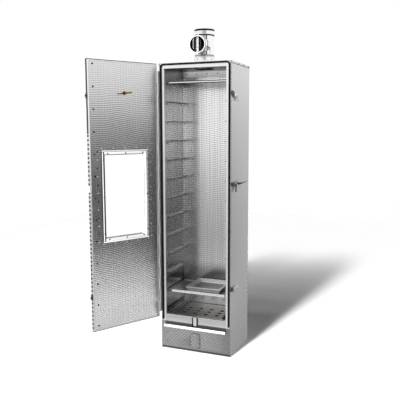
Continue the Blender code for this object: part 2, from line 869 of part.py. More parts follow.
def build_damper(axle_y):
    mover = pivot("damper_pivot", (0, axle_y, BRANCH_Z), (0, 0, DAMPER_REST))
    reach = BRANCH_RADIUS + AXLE_OVERHANG
    rod("damper_axle", (0, 0, -reach), (0, 0, reach), AXLE_RADIUS, BRIGHT_STEEL, mover)
    near = AXLE_RADIUS + GAP
    rod(
        "damper_disc",
        (0, near, 0),
        (0, near + DAMPER_THICKNESS, 0),
        DAMPER_RADIUS,
        TRAY_STEEL,
        mover,
        sides=TUBE_SIDES,
    )


# ---------------------------------------------------------------- hinge


def knuckle_span(index):
    low = HINGE_BOTTOM + index * KNUCKLE_PITCH
    return low + GAP, low + KNUCKLE_PITCH - GAP


def build_leaf(name, parent, side, first):
    """One leaf of the continuous hinge, about the pin at x = y = 0. Its strip lies at +y or at -y."""
    inner, outer = 2.5 * MM, 2.5 * MM + SHEET
    clear = KNUCKLE_RADIUS + 2 * GAP
    low, high = knuckle_span(0)[0], knuckle_span(HINGE_KNUCKLES - 1)[1]
    y = sorted((side * clear, side * LEAF_WIDTH))
    leaf = box(name, (inner, y[0], low), (outer, y[1], high), BRIGHT_STEEL, parent)
    for index in range(first, HINGE_KNUCKLES, 2):
        bottom, top = knuckle_span(index)
        tab_y = sorted((side * (clear + SHEET), side * 0.5 * MM))
        tab = box(f"{name}_tab_{index}", (inner, tab_y[0], bottom), (outer, tab_y[1], top), parent=parent)
        barrel = rod(f"{name}_knuckle_{index}", (0, 0, bottom), (0, 0, top), KNUCKLE_RADIUS, parent=parent)
        weld(leaf, tab, barrel)
    bore = rod(f"{name}_bore", (0, 0, low - SHEET), (0, 0, high + SHEET), PIN_RADIUS + GAP, parent=parent)
    cut(leaf, bore)


def build_hinge(door):
    frame = pivot("hinge_axis", (HINGE_X, HINGE_Y, 0))
    build_leaf("hinge_leaf_cabinet", frame, 1, 0)
    build_leaf("hinge_leaf_door", door, -1, 1)
    low, high = knuckle_span(0)[0], knuckle_span(HINGE_KNUCKLES - 1)[1]
    rod("hinge_pin", (0, 0, low - SHEET), (0, 0, high + SHEET), PIN_RADIUS, BRIGHT_STEEL, frame)


# ---------------------------------------------------------------- door


def window_cutter(name, door, margin=0.0):
    return box(
        name,
        (WINDOW_LEFT - margin, DOOR_OUTER - 20 * MM, WINDOW_BOTTOM - margin),
        (WINDOW_RIGHT + margin, DOOR_INNER + 20 * MM, WINDOW_TOP + margin),
        parent=door,
    )


def stem_hole(name, door):
    return rod(
        name,
        (THERMOMETER_X, DOOR_OUTER - 20 * MM, THERMOMETER_Z),
        (THERMOMETER_X, DOOR_INNER + 20 * MM, THERMOMETER_Z),
        STEM_RADIUS + GAP,
        parent=door,
    )


def build_door_shells(door):
    left, right = DOOR_HINGE_EDGE, DOOR_FREE_EDGE
    inner_back = DOOR_INNER - SHEET
    skin = box(
        "door_outer_skin",
        (left, DOOR_OUTER, DOOR_BOTTOM),
        (right, inner_back - GAP, DOOR_TOP),
        SATIN_STEEL,
        door,
    )
    hollow = box(
        "door_hollow",
        (left + SHEET, DOOR_OUTER + SHEET, DOOR_BOTTOM + SHEET),
        (right - SHEET, DOOR_INNER, DOOR_TOP - SHEET),
        parent=door,
    )
    cut(skin, hollow, window_cutter("skin_window", door), stem_hole("skin_stem_hole", door))
    panel = box(
        "door_inner_panel",
        (left, inner_back, DOOR_BOTTOM),
        (right, DOOR_INNER, DOOR_TOP),
        EMBOSSED_STEEL,
        door,
    )
    cut(panel, window_cutter("panel_window", door), stem_hole("panel_stem_hole", door))
    wool = box(
        "door_insulation",
        (left + SHEET + GAP, DOOR_OUTER + SHEET + GAP, DOOR_BOTTOM + SHEET + GAP),
        (right - SHEET - GAP, inner_back - GAP, DOOR_TOP - SHEET - GAP),
        WOOL,
        door,
    )
    cut(wool, window_cutter("wool_window", door, 8 * MM), stem_hole("wool_stem_hole", door))


def build_window_bead(name, door, back, front):
    """A frame whose flange lies on the door between the depths back and front, over the glass's edge."""
    bead = box(
        name,
        (WINDOW_LEFT - WINDOW_BEAD / 2, min(back, front), WINDOW_BOTTOM - WINDOW_BEAD / 2),
        (WINDOW_RIGHT + WINDOW_BEAD / 2, max(back, front), WINDOW_TOP + WINDOW_BEAD / 2),
        BRIGHT_STEEL,
        door,
    )
    cut(bead, window_cutter(f"{name}_opening", door, -WINDOW_BEAD / 2))


def build_window(door):
    build_window_bead("window_frame_inner", door, DOOR_INNER + GAP, DOOR_INNER + BEAD_HEIGHT)
    build_window_bead("window_frame_outer", door, DOOR_OUTER - GAP, DOOR_OUTER - BEAD_HEIGHT)
    low_x, high_x = WINDOW_LEFT + GAP, WINDOW_RIGHT - GAP
    low_z, high_z = WINDOW_BOTTOM + GAP, WINDOW_TOP - GAP
    inner_face, outer_face = DOOR_INNER, DOOR_OUTER
    box("glass_inner", (low_x, inner_face - GLASS, low_z), (high_x, inner_face, high_z), GLASS_CLEAR, door)
    box("glass_outer", (low_x, outer_face, low_z), (high_x, outer_face + GLASS, high_z), GLASS_CLEAR, door)
    seal = box(
        "window_seal",
        (low_x, outer_face + GLASS + GAP, low_z),
        (high_x, inner_face - GLASS - GAP, high_z),
        RUBBER,
        door,
    )
    cut(seal, window_cutter("seal_opening", door, -4 * MM))


def build_thermometer(door):
    centre = pivot("thermometer_axis", (THERMOMETER_X, 0, THERMOMETER_Z))
    centre.parent = door
    back = DOOR_OUTER - GAP
    face = back - DIAL_DEPTH
    well = face + DIAL_RECESS
    case = rod(
        "thermometer_case", (0, back, 0), (0, face, 0), DIAL_RADIUS, BRIGHT_STEEL, centre, sides=TUBE_SIDES
    )
    cut(
        case,
        rod(
            "dial_recess",
            (0, well, 0),
            (0, face - DIAL_DEPTH, 0),
            DIAL_RADIUS - 2.5 * MM,
            parent=centre,
            sides=TUBE_SIDES,
        ),
        rod("case_bore", (0, back + SHEET, 0), (0, face, 0), STEM_RADIUS + GAP, parent=centre),
    )
    rod(
        "thermometer_stem",
        (0, well - 1.5 * MM, 0),
        (0, DOOR_INNER + STEM_REACH, 0),
        STEM_RADIUS,
        BRASS,
        centre,
    )
    nut = rod(
        "thermometer_nut",
        (0, DOOR_INNER + GAP, 0),
        (0, DOOR_INNER + NUT_HEIGHT, 0),
        NUT_RADIUS,
        BRASS,
        centre,
        sides=6,
    )
    cut(nut, rod("nut_bore", (0, -9 * MM, 0), (0, 30 * MM, 0), STEM_RADIUS + GAP, parent=centre))
    rod(
        "thermometer_lens",
        (0, face + 0.5 * MM, 0),
        (0, face + 2 * MM, 0),
        DIAL_RADIUS - 2.5 * MM - GAP,
        GLASS_CLEAR,
        centre,
        sides=TUBE_SIDES,
    )
    needle_y = well - 1.5 * MM - GAP
    needle = rod(
        "thermometer_needle", (0, needle_y, 0), (0, needle_y - 1 * MM, 0), 3 * MM, NEEDLE_RED, centre
    )
    pointer = box(
        "needle_pointer",
        (-1 * MM, needle_y - 0.9 * MM, 0),
        (1 * MM, needle_y - 0.1 * MM, 24 * MM),
        parent=centre,
    )
    weld(needle, pointer)


def build_strike(name, door, height):
    """A catch pin with a head, standing out of the door's free edge."""
    edge = DOOR_FREE_EDGE + GAP
    face = edge + 2.5 * MM
    pin_end = face + 15 * MM
    strike = box(
        name,
        (edge, DOOR_OUTER + 1.5 * MM, height - 14 * MM),
        (face, DOOR_INNER - 1.5 * MM, height + 14 * MM),
        DARK_STEEL,
        door,
    )
    pin = rod(
        f"{name}_pin",
        (face - MM, STRIKE_Y, height),
        (pin_end, STRIKE_Y, height),
        STRIKE_PIN_RADIUS,
        parent=door,
    )
    head = rod(
        f"{name}_head",
        (pin_end - 0.1 * MM, STRIKE_Y, height),
        (pin_end + 2.5 * MM, STRIKE_Y, height),
        1.6 * STRIKE_PIN_RADIUS,
        parent=door,
    )
    weld(strike, pin, head)


def build_door():
    door = pivot("door_pivot", (HINGE_X, HINGE_Y, 0), (0, 0, -DOOR_OPEN))
    build_door_shells(door)
    build_window(door)
    build_thermometer(door)
    build_strike("strike_top", door, LATCH_TOP_Z - STRIKE_DROP)
    build_strike("strike_middle", door, LATCH_MIDDLE_Z - STRIKE_DROP)
    build_strike("strike_bottom", door, LATCH_BOTTOM_Z - STRIKE_DROP)
    build_hinge(door)


# ---------------------------------------------------------------- latches


def build_latch_base(name, height):
    """A foot on the side wall with a shouldered stud, on which the hook turns."""
    foot = SIDE + GAP
    shoulder = HOOK_INNER_X - GAP
    head = HOOK_INNER_X + HOOK_THICKNESS + GAP
    base = box(
        name,
        (foot, LATCH_Y - 13 * MM, height - 20 * MM),
        (foot + 2 * MM, LATCH_Y + 13 * MM, height + 20 * MM),
        SATIN_STEEL,
    )
    boss = rod(f"{name}_boss", (foot + MM, LATCH_Y, height), (shoulder, LATCH_Y, height), 9 * MM, sides=24)
    stud = rod(f"{name}_stud", (shoulder - MM, LATCH_Y, height), (head + MM, LATCH_Y, height), STUD_RADIUS)
    cap = rod(f"{name}_cap", (head, LATCH_Y, height), (head + 2.5 * MM, LATCH_Y, height), 7 * MM, sides=24)
    weld(base, boss, stud, cap)


def hook_outline(rise, tail):
    """A hook seen from outside: the stud at the origin, the mouth forward at -y and open downward."""
    reach = HOOK_REACH
    nose = reach + 14 * MM
    mouth = STRIKE_PIN_RADIUS + 1.2 * MM
    notch = arc((reach, 0), mouth, 180, 0, 8)
    around_stud = arc((0, 0), 10 * MM, 250, 110, 8)
    tail_top, tail_bottom = tail
    return [
        around_stud[0],
        (reach - mouth - 9 * MM, -5 * MM),
        (reach - mouth, -8 * MM),
        *notch,
        (reach + mouth, -8 * MM),
        (nose - 3 * MM, -10 * MM),
        (nose, -4 * MM),
        (nose, rise - 6 * MM),
        (nose - 6 * MM, rise),
        (reach - 12 * MM, rise),
        (20 * MM, rise - 5 * MM),
        *reversed(around_stud[4:]),
        tail_top,
        tail_bottom,
        *reversed(around_stud[1:4]),
    ]


def build_hook(name, height, rise, tail, finger=0.0):
    """A plate hook on its stud, with an optional finger hanging below the stud."""
    mover = pivot(f"{name}_pivot", (HOOK_INNER_X, LATCH_Y, height), (HOOK_DROOP - HOOK_RAISED, 0, 0))
    # The outline's x becomes -y, its y becomes z, and its thickness runs outward along x.
    upright = Matrix(((0, 0, -1, HOOK_THICKNESS / 2), (-1, 0, 0, 0), (0, 1, 0, 0), (0, 0, 0, 1)))
    hook = plate(name, hook_outline(rise, tail), HOOK_THICKNESS, DARK_STEEL, mover, upright)
    hole = rod(
        f"{name}_hole",
        (-HOOK_THICKNESS, 0, 0),
        (2 * HOOK_THICKNESS, 0, 0),
        STUD_RADIUS + GAP,
        parent=mover,
    )
    if finger:
        weld(
            hook,
            box(
                f"{name}_finger",
                (0, -5 * MM, -finger),
                (HOOK_THICKNESS, 2 * MM, -7 * MM),
                parent=mover,
            ),
        )
    cut(hook, hole)
    return mover


def build_grip(mover):
    """The hand grip of the middle lever: a bent bar that stands off the hook and runs rearward and up."""
    start = HOOK_THICKNESS + GAP
    along = Vector((0, cos(GRIP_ANGLE), sin(GRIP_ANGLE)))
    foot = Vector((0, *GRIP_FOOT))
    path = [
        Vector((start, 0, 0)) + foot,
        Vector((start + 9 * MM, 0, 0)) + foot,
        Vector((start + 14 * MM, 0, 0)) + foot + along * 5 * MM,
        Vector((start + 15 * MM, 0, 0)) + foot + along * GRIP_LENGTH,
    ]
    wire("handle_grip", path, GRIP_RADIUS, BRIGHT_STEEL, mover)


def build_latches():
    build_latch_base("latch_base_top", LATCH_TOP_Z)
    build_latch_base("latch_base_middle", LATCH_MIDDLE_Z)
    build_latch_base("latch_base_bottom", LATCH_BOTTOM_Z)
    build_hook("latch_hook_top", LATCH_TOP_Z, HOOK_RISE, TAIL_DOWN)
    build_hook("latch_hook_bottom", LATCH_BOTTOM_Z, HOOK_RISE, TAIL_UP)
    build_grip(build_hook("handle_lever", LATCH_MIDDLE_Z, LEVER_RISE, TAIL_LEVEL, FINGER_LENGTH))


build_casing()
build_top_cover()
build_base_pan()
build_liner()
build_insulation()
build_front_frame()
build_sill()
build_gasket()
PANEL_FRONT = build_lower_front()
build_air_flap(PANEL_FRONT)
GUTTER_WALL = build_gutter(PANEL_FRONT)
build_spout(GUTTER_WALL)
build_header()
build_rail_rack("rail_rack_left", -1)
build_rail_rack("rail_rack_right", 1)
TRAY_FLOOR = build_shelf_tray()
build_mesh_pan(TRAY_FLOOR)
build_top_baffle()
build_floor()
build_chip_pan()
build_flue_collar()
AXLE_Y = build_flue_tee()
build_flue_socket()
build_damper(AXLE_Y)
build_door()
build_latches()
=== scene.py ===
"""Looks of the smoking cabinet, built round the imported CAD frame. Metres, +Z up, the door side at -Y."""

import json
from functools import reduce
from math import cos, pi, radians, sin, tan

import bmesh
import bpy
from mathutils import Matrix, Vector


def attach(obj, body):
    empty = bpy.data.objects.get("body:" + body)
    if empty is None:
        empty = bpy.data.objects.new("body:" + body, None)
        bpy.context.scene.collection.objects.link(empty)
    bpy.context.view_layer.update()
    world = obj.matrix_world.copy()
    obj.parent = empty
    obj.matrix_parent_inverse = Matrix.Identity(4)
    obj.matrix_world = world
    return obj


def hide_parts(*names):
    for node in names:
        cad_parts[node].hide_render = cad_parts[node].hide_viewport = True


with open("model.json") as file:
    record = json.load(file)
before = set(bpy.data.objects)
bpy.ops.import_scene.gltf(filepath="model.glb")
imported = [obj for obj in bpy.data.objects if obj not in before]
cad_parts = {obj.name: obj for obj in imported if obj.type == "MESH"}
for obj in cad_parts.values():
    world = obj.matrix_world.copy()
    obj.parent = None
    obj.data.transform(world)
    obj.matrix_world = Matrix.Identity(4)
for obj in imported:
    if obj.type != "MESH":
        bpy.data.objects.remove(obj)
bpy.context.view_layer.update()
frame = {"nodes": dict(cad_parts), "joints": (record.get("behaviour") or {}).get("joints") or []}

MM = 0.001
SHEET = 1.2 * MM
HALF = SHEET / 2
X, Y, Z = Vector((1, 0, 0)), Vector((0, 1, 0)), Vector((0, 0, 1))

NODES = frame["nodes"]
JOINTS = {joint["name"]: joint for joint in frame["joints"]}


def joint_at(name):
    return Vector(JOINTS[name]["pos_m"])


def extent(node, local=Matrix()):
    """Lowest and highest corner of a CAD node at rest, measured in a local frame."""
    back = local.inverted()
    points = [back @ v.co for v in NODES[node].data.vertices]
    low = Vector([min(p[i] for p in points) for i in range(3)])
    high = Vector([max(p[i] for p in points) for i in range(3)])
    return low, high


# How far the door and the damper are turned at rest
DOOR_OPEN = radians(120)
DAMPER_TURN = radians(68)
HINGE = joint_at("door_swing")
# Local frames in which the door and the damper lie square
DOOR = Matrix.Translation((HINGE.x, HINGE.y, 0)) @ Matrix.Rotation(-DOOR_OPEN, 4, "Z")
DAMPER = Matrix.Translation(joint_at("damper_turn")) @ Matrix.Rotation(DAMPER_TURN, 4, "Z")
CASING_LOW, CASING_HIGH = extent("outer_casing")
SIDE, FRONT, BACK = CASING_HIGH.x, CASING_LOW.y, CASING_HIGH.y


# ---------------------------------------------------------------- materials


class Tree:
    """Shorthand for adding and joining shader nodes."""

    def __init__(self, tree):
        self.tree = tree

    def add(self, kind, **settings):
        node = self.tree.nodes.new(kind)
        for key, value in settings.items():
            setattr(node, key, value)
        return node

    def put(self, socket, value):
        if isinstance(value, bpy.types.NodeSocket):
            self.tree.links.new(value, socket)
        else:
            socket.default_value = value

    def maths(self, operation, *values, clamp=False):
        node = self.add("ShaderNodeMath", operation=operation, use_clamp=clamp)
        for socket, value in zip(node.inputs, values):
            self.put(socket, value)
        return node.outputs[0]


class Nodes(Tree):
    """A material's node tree around one Principled shader. A mask is one where it holds, else zero."""

    def __init__(self, name, slot=None):
        self.material = bpy.data.materials.new(name)
        self.material.use_nodes = True
        super().__init__(self.material.node_tree)
        self.shader = self.tree.nodes["Principled BSDF"]
        self.point = self.add("ShaderNodeTexCoord").outputs["Object"]

    def along(self, direction):
        """The distance along a direction, in metres."""
        node = self.add("ShaderNodeVectorMath", operation="DOT_PRODUCT")
        self.put(node.inputs[0], self.point)
        self.put(node.inputs[1], direction)
        return node.outputs["Value"]

    def noise(self, scale, stretch=(1, 1, 1), detail=2.0, rough=0.5):
        """Noise around zero, from -0.5 to 0.5."""
        mapping = self.add("ShaderNodeMapping")
        self.put(mapping.inputs["Vector"], self.point)
        self.put(mapping.inputs["Scale"], stretch)
        node = self.add("ShaderNodeTexNoise")
        settings = {"Vector": mapping.outputs[0], "Scale": scale, "Detail": detail, "Roughness": rough}
        for key, value in settings.items():
            self.put(node.inputs[key], value)
        return self.maths("SUBTRACT", node.outputs["Fac"], 0.5)

    def wave(self, position, pitch):
        return self.maths("SINE", self.maths("MULTIPLY", position, 2 * pi / pitch))

    def total(self, start, *terms):
        """start plus each (value, weight)."""
        for value, weight in terms:
            start = self.maths("MULTIPLY_ADD", value, weight, start)
        return start

    def over(self, value, limit):
        return self.maths("GREATER_THAN", value, limit)

    def above(self, direction, limit):
        return self.over(self.along(direction), limit)

    def below(self, direction, limit):
        return self.maths("LESS_THAN", self.along(direction), limit)

    def beyond(self, direction, centre, half):
        """Further than half from the centre along a direction."""
        offset = self.maths("SUBTRACT", self.along(direction), centre)
        return self.over(self.maths("ABSOLUTE", offset), half)

    def within(self, direction, centre, half):
        return self.maths("SUBTRACT", 1.0, self.beyond(direction, centre, half))

    def both(self, *masks):
        return reduce(lambda first, second: self.maths("MULTIPLY", first, second), masks)

    def either(self, *masks):
        return reduce(lambda first, second: self.maths("MAXIMUM", first, second), masks)

    def dashes(self, direction, pitch, level):
        """Dashes along a direction. A lower level makes them longer."""
        return self.over(self.wave(self.along(direction), pitch), level)

    def off_axis(self, *lines):
        """The distance from a line, which is given by two (direction, centre)."""
        offsets = [self.maths("SUBTRACT", self.along(direction), centre) for direction, centre in lines]
        return self.maths("SQRT", self.maths("ADD", *[self.maths("MULTIPLY", o, o) for o in offsets]))

    def darkened(self, tone, share, left):
        """The tone, scaled down to what is left of it where the mask is one."""
        return self.maths("MULTIPLY", tone, self.maths("MULTIPLY_ADD", share, left - 1, 1.0))

    def tinted(self, colour, factor):
        """A colour scaled by a factor."""
        node = self.add("ShaderNodeVectorMath", operation="SCALE")
        self.put(node.inputs[0], colour)
        self.put(node.inputs["Scale"], factor)
        return node.outputs[0]

    def bump(self, height, distance):
        node = self.add("ShaderNodeBump")
        for key, value in {"Strength": 1.0, "Distance": distance, "Height": height}.items():
            self.put(node.inputs[key], value)
        self.put(self.shader.inputs["Normal"], node.outputs[0])

    def finish(self, colour, roughness, metallic=1.0, **others):
        values = {"Base Color": colour, "Roughness": roughness, "Metallic": metallic, **others}
        for key, value in values.items():
            self.put(self.shader.inputs[key.replace("_", " ")], value)
        return self.material


HATCH_SLOPES = ((0.7, 0, 0.7), (0.7, 0, -0.7))
HATCH_PITCH = 13 * MM


def steel(
    name,
    slot,
    colour,
    rough,
    grain,
    grain_tone,
    cloud,
    depth=0.05 * MM,
    tint=(1, 1, 1),
    metal=1.0,
    dark=None,
    left=0.05,
    hatch=0.0,
):
    """Stainless sheet: grain stretched along one direction, with clouding and slight waviness. Where a dark
    mask is given it darkens the sheet: on most pieces this is painted shade, on a few a seam and dark marks.
    """
    n = Nodes(name, slot)
    fine = n.noise(1.0, grain, 3.0, 0.6)
    cloudy = n.noise(5.0, (1, 1, 0.6))
    specks = n.noise(420.0, detail=1.0)
    tone = n.total(1.0, (fine, 2 * grain_tone), (cloudy, 2 * cloud), (specks, grain_tone))
    if hatch:
        for slope in HATCH_SLOPES:
            lines = n.wave(n.total(n.along(slope), (n.noise(9.0), 0.012)), HATCH_PITCH)
            tone = n.total(tone, (lines, hatch))
    if dark:
        tone = n.darkened(tone, dark(n), left)
    n.bump(n.total(0.0, (fine, 0.5), (n.noise(2.6), 6.0)), depth)
    roughness = n.total(rough, (fine, 0.22), (cloudy, 0.16))
    return n.finish(n.tinted([colour * t for t in tint], tone), roughness, metal)


WEAVE_PITCH = 6 * MM
RIB_PITCH = 15.5 * MM


def embossed(name, colour, rough, across, ripple, tilt=0.0, streaks=0.10, pitch=10.5 * MM, dark=None):
    """Linen-embossed stainless sheet: a fine woven relief with slow ripples of light across it."""
    n = Nodes(name, "embossed_steel")
    u, v = n.along(across), n.along(Z)
    cloudy = n.noise(3.2, (1, 1, 0.8))
    streak = n.noise(1.0, (70, 70, 2.2))
    weave = n.maths("MULTIPLY", n.wave(u, WEAVE_PITCH), n.wave(v, WEAVE_PITCH))
    rings = n.wave(n.total(v, (u, tilt), (n.noise(2.2), 0.11)), pitch)
    ribs = n.wave(n.total(u, (cloudy, 0.02)), RIB_PITCH)
    lines = ((rings, ripple), (ribs, 0.35 * ripple), (weave, 0.05))
    tone = n.total(1.0, *lines, (cloudy, 0.14), (streak, streaks))
    if dark:
        tone = n.darkened(tone, dark(n), 0.25)
    n.bump(n.total(0.0, (weave, 0.14), (rings, 0.5), (n.noise(2.0), 9.0)), 0.07 * MM)
    return n.finish(n.tinted([colour] * 3, tone), n.total(rough, (cloudy, 0.12), (weave, 0.04)))


# Painted shade on the liner: on the back wall it fades out between two heights, and stays above the shelf
SHADE_FOOT = 305 * MM
SHADE_FULL, SHADE_NONE = 340 * MM, 430 * MM
BACK_WALL = 90 * MM
# Painted shade: the side walls are darker beside the baffle and over it
SHADED_FROM = 1412 * MM
SIDE_WALL = 170 * MM


# The liner's painted shade, as a mask: low on the back wall and high on the side walls
def liner_shade(n):
    share = n.maths("DIVIDE", n.maths("SUBTRACT", n.along(Z), SHADE_FULL), SHADE_NONE - SHADE_FULL)
    rise = n.maths("MAXIMUM", n.maths("SMOOTH_MIN", 1.0, share, 0.2), 0.0)
    low_down = n.both(n.maths("SUBTRACT", 1.0, rise), n.above(Y, BACK_WALL), n.above(Z, SHADE_FOOT))
    high_up = n.both(n.above(Z, SHADED_FROM), n.beyond(X, 0, SIDE_WALL))
    return n.either(low_down, n.maths("MULTIPLY", high_up, 0.8))


def blackened(name):
    """Blackened cast hardware: a dark oxide skin, rubbed brighter in patches."""
    n = Nodes(name, "dark_steel")
    worn = n.noise(60.0, detail=3.0)
    grit = n.noise(900.0)
    tone = n.total(0.045, (n.over(worn, 0.17), 0.16), (worn, 0.05), (grit, 0.02))
    n.bump(n.total(0.0, (grit, 1.0), (worn, 0.6)), 0.12 * MM)
    return n.finish(n.tinted([1.0, 0.98, 0.95], tone), n.total(0.42, (worn, 0.3)), 0.85)


def rubber(name):
    n = Nodes(name, "black_rubber")
    skin = n.noise(700.0, (1, 1, 0.15))
    dust = n.noise(14.0, (1, 1, 0.5), 3.0)
    n.bump(skin, 0.08 * MM)
    tone = n.total(0.006, (dust, 0.006), (skin, 0.002))
    return n.finish(n.tinted([1, 1, 1.02], tone), n.total(0.7, (dust, 0.25)), 0.0, Specular_IOR_Level=0.08)


def wool(name):
    n = Nodes(name, "mineral_wool")
    fibre = n.noise(1.0, (40, 320, 320), 6.0, 0.7)
    tuft = n.noise(35.0, detail=4.0)
    n.bump(n.total(0.0, (fibre, 1.0), (tuft, 2.0)), 1.2 * MM)
    return n.finish(n.tinted([0.46, 0.38, 0.2], n.total(1.0, (fibre, 0.9), (tuft, 0.5))), 0.95, 0.0)


def brass(name, colour):
    n = Nodes(name, "brass")
    turned = n.noise(1.0, (900, 900, 900))
    tarnish = n.noise(120.0, detail=3.0)
    n.bump(turned, 0.03 * MM)
    tone = n.total(1.0, (turned, 0.12), (tarnish, 0.5))
    return n.finish(n.tinted(colour, tone), n.total(0.27, (tarnish, 0.3)))


def clear(name):
    """Clear glass with a faint film; most of what is behind shows through."""
    n = Nodes(name, "clear_glass")
    film = n.noise(9.0, (1, 1, 0.3), 3.0)
    colour = n.tinted([0.93, 0.96, 0.95], n.total(1.0, (film, 0.06)))
    return n.finish(colour, n.total(0.05, (film, 0.05)), 0.0, Alpha=0.03)


def enamel(name, colour, slot=None):
    n = Nodes(name, slot)
    mottle = n.noise(40.0, detail=3.0)
    n.bump(n.noise(900.0, detail=1.0), 0.02 * MM)
    return n.finish(n.tinted(colour, n.total(1.0, (mottle, 0.04))), n.total(0.34, (mottle, 0.1)), 0.0)


VERTICAL, CROSSWISE, EVEN = (260, 260, 5), (6, 260, 260), (300, 300, 300)
HOOK_GRAIN = (60, 200, 200)
# Finishes that several pieces share: slot, colour, roughness, grain, and how strong grain and clouding are
SATIN_SHEET = ("satin_steel", 0.64, 0.30, (160, 160, 60), 0.035, 0.05)
HATCHED_SHEET = ("satin_steel", 0.41, 0.36, (90, 90, 190), 0.30, 0.2)
SPUN = ("bright_steel", 0.86, 0.13, VERTICAL, 0.05, 0.03)
FOLDED = ("bright_steel", 0.93, 0.30, VERTICAL, 0.04, 0.03)
PALE = ("bright_steel", 0.93, 0.32, VERTICAL, 0.05, 0.04)

SATIN = steel("satin_steel_sheet", *SATIN_SHEET, 0.02 * MM)
HATCHED = steel("cross_brushed_steel", *HATCHED_SHEET, hatch=0.16)
POLISHED = steel("polished_steel", *SPUN, 0.02 * MM)
BRIGHT = steel("bright_folded_steel", *FOLDED)
BEAD = steel("satin_bead_steel", *PALE, metal=0.25)
STRIP = steel("crosswise_brushed_steel", "bright_steel", 0.80, 0.22, CROSSWISE, 0.20, 0.05)
# Painted shade: the band along the foot of the front panel is coloured dark
PLINTH = steel("shaded_foot_steel", "satin_steel", 0.13, 0.42, CROSSWISE, 0.2, 0.3)
# Inward of this distance from the middle, a runner or ledge is in the dark
LEDGE_REACH = 172 * MM
RAIL = steel(
    "runner_steel",
    *("satin_steel", 0.66, 0.22, (220, 8, 220), 0.07, 0.06),
    dark=lambda n: n.within(X, 0, LEDGE_REACH),
    left=0.22,
)
TRAY = steel("tray_steel_sheet", "tray_steel", 0.58, 0.30, (14, 220, 220), 0.08, 0.12)
DULLED = steel("heat_dulled_steel", "tray_steel", 0.50, 0.36, (60, 60, 60), 0.16, 0.55, tint=(1, 0.97, 0.93))
SCREW_DARK = steel("dark_screw_steel", "dark_steel", 0.035, 0.35, EVEN, 0.05, 0.05)
SCREW_BRIGHT = steel("bright_screw_steel", "bright_steel", 0.85, 0.18, EVEN, 0.05, 0.05)
LINER_SIDE = embossed("embossed_liner", 0.74, 0.19, (1, 1, 0), 0.16, 0.10, 0.38, dark=liner_shade)
LINER_TOP = embossed("embossed_ceiling", 0.25, 0.35, X, 0.04)
DOOR_PANEL = embossed("embossed_door_panel", 0.67, 0.17, X, 0.09, 0.06, pitch=9.5 * MM)
DARK = blackened("blackened_steel")
RUBBER = rubber("black_seal_rubber")
WOOL = wool("mineral_wool_batt")
BRASS = brass("brass_fitting", (0.20, 0.13, 0.05))
BRASS_TIP = brass("oiled_brass_stem", (0.50, 0.30, 0.09))
GLASS = clear("clear_pane")
DIAL_WHITE = enamel("dial_enamel", (0.86, 0.86, 0.83))
DIAL_INK = enamel("dial_ink", (0.02, 0.02, 0.02))
RED = enamel("needle_enamel", (0.6, 0.03, 0.02), "needle_red")


# ---------------------------------------------------------------- shape tools


def mm(*points):
    """Points given in millimetres."""
    return [(a * MM, b * MM) for a, b in points]


def spread(start, end, count):
    return [start + (end - start) * i / (count - 1) for i in range(count)]


def add_loft(bm, rings, closed_path=False, caps=True):
    """Quads between rings of points. Capped at both ends if the path is open."""
    made = [[bm.verts.new(p) for p in ring] for ring in rings]
    count = len(rings[0])
    pairs = list(zip(made, made[1:])) + ([(made[-1], made[0])] if closed_path else [])
    for first, second in pairs:
        for i in range(count):
            j = (i + 1) % count
            bm.faces.new((first[i], first[j], second[j], second[i]))
    if caps and not closed_path:
        bm.faces.new(list(reversed(made[0])))
        bm.faces.new(made[-1])
    return made


FILLET_STEPS = 4


def fillet(points, radius):
    """A line of 2D points with its corners rounded."""
    points = [Vector(p) for p in points]
    if radius <= 0:
        return points
    line = [points[0]]
    for before, corner, after in zip(points, points[1:], points[2:]):
        a, b = (before - corner).normalized(), (after - corner).normalized()
        bend = a.angle(b)
        if bend > pi - 0.02:
            line.append(corner)
            continue
        reach = min(radius / tan(bend / 2), 0.48 * (before - corner).length, 0.48 * (after - corner).length)
        start, end = corner + a * reach, corner + b * reach
        for i in range(FILLET_STEPS + 1):
            t = i / FILLET_STEPS
            line.append((1 - t) ** 2 * start + 2 * t * (1 - t) * corner + t * t * end)
    line.append(points[-1])
    return line


def beside(line, distance):
    """A 2D line moved sideways, mitred at its corners."""
    moved = []
    for i, point in enumerate(line):
        sides = []
        if i > 0:
            sides.append((point - line[i - 1]).normalized())
        if i < len(line) - 1:
            sides.append((line[i + 1] - point).normalized())
        normals = [Vector((-s.y, s.x)) for s in sides]
        middle = sum(normals, Vector((0, 0))).normalized()
        moved.append(point + middle * distance / max(0.3, middle.dot(normals[0])))
    return moved


ALONG = {
    "X": lambda a, b, s: (s, a, b),
    "Y": lambda a, b, s: (a, s, b),
    "Z": lambda a, b, s: (a, b, s),
}


def add_bend(bm, points, low, high, along, radius, thickness=SHEET):
    """A bent sheet: a 2D line through its middle with rounded bends, run along one axis."""
    line = fillet(points, radius)
    loop = beside(line, thickness / 2) + beside(line, -thickness / 2)[::-1]
    rings = [[ALONG[along](p.x, p.y, end) for p in loop] for end in (low, high)]
    made = add_loft(bm, rings, caps=False)
    count = len(line)
    for ring, turned in ((made[0], True), (made[-1], False)):
        for i in range(count - 1):
            quad = [ring[i], ring[i + 1], ring[2 * count - 2 - i], ring[2 * count - 1 - i]]
            bm.faces.new(quad[::-1] if turned else quad)


def around(count):
    """The angles of points spaced evenly round a circle."""
    return [2 * pi * k / count for k in range(count)]


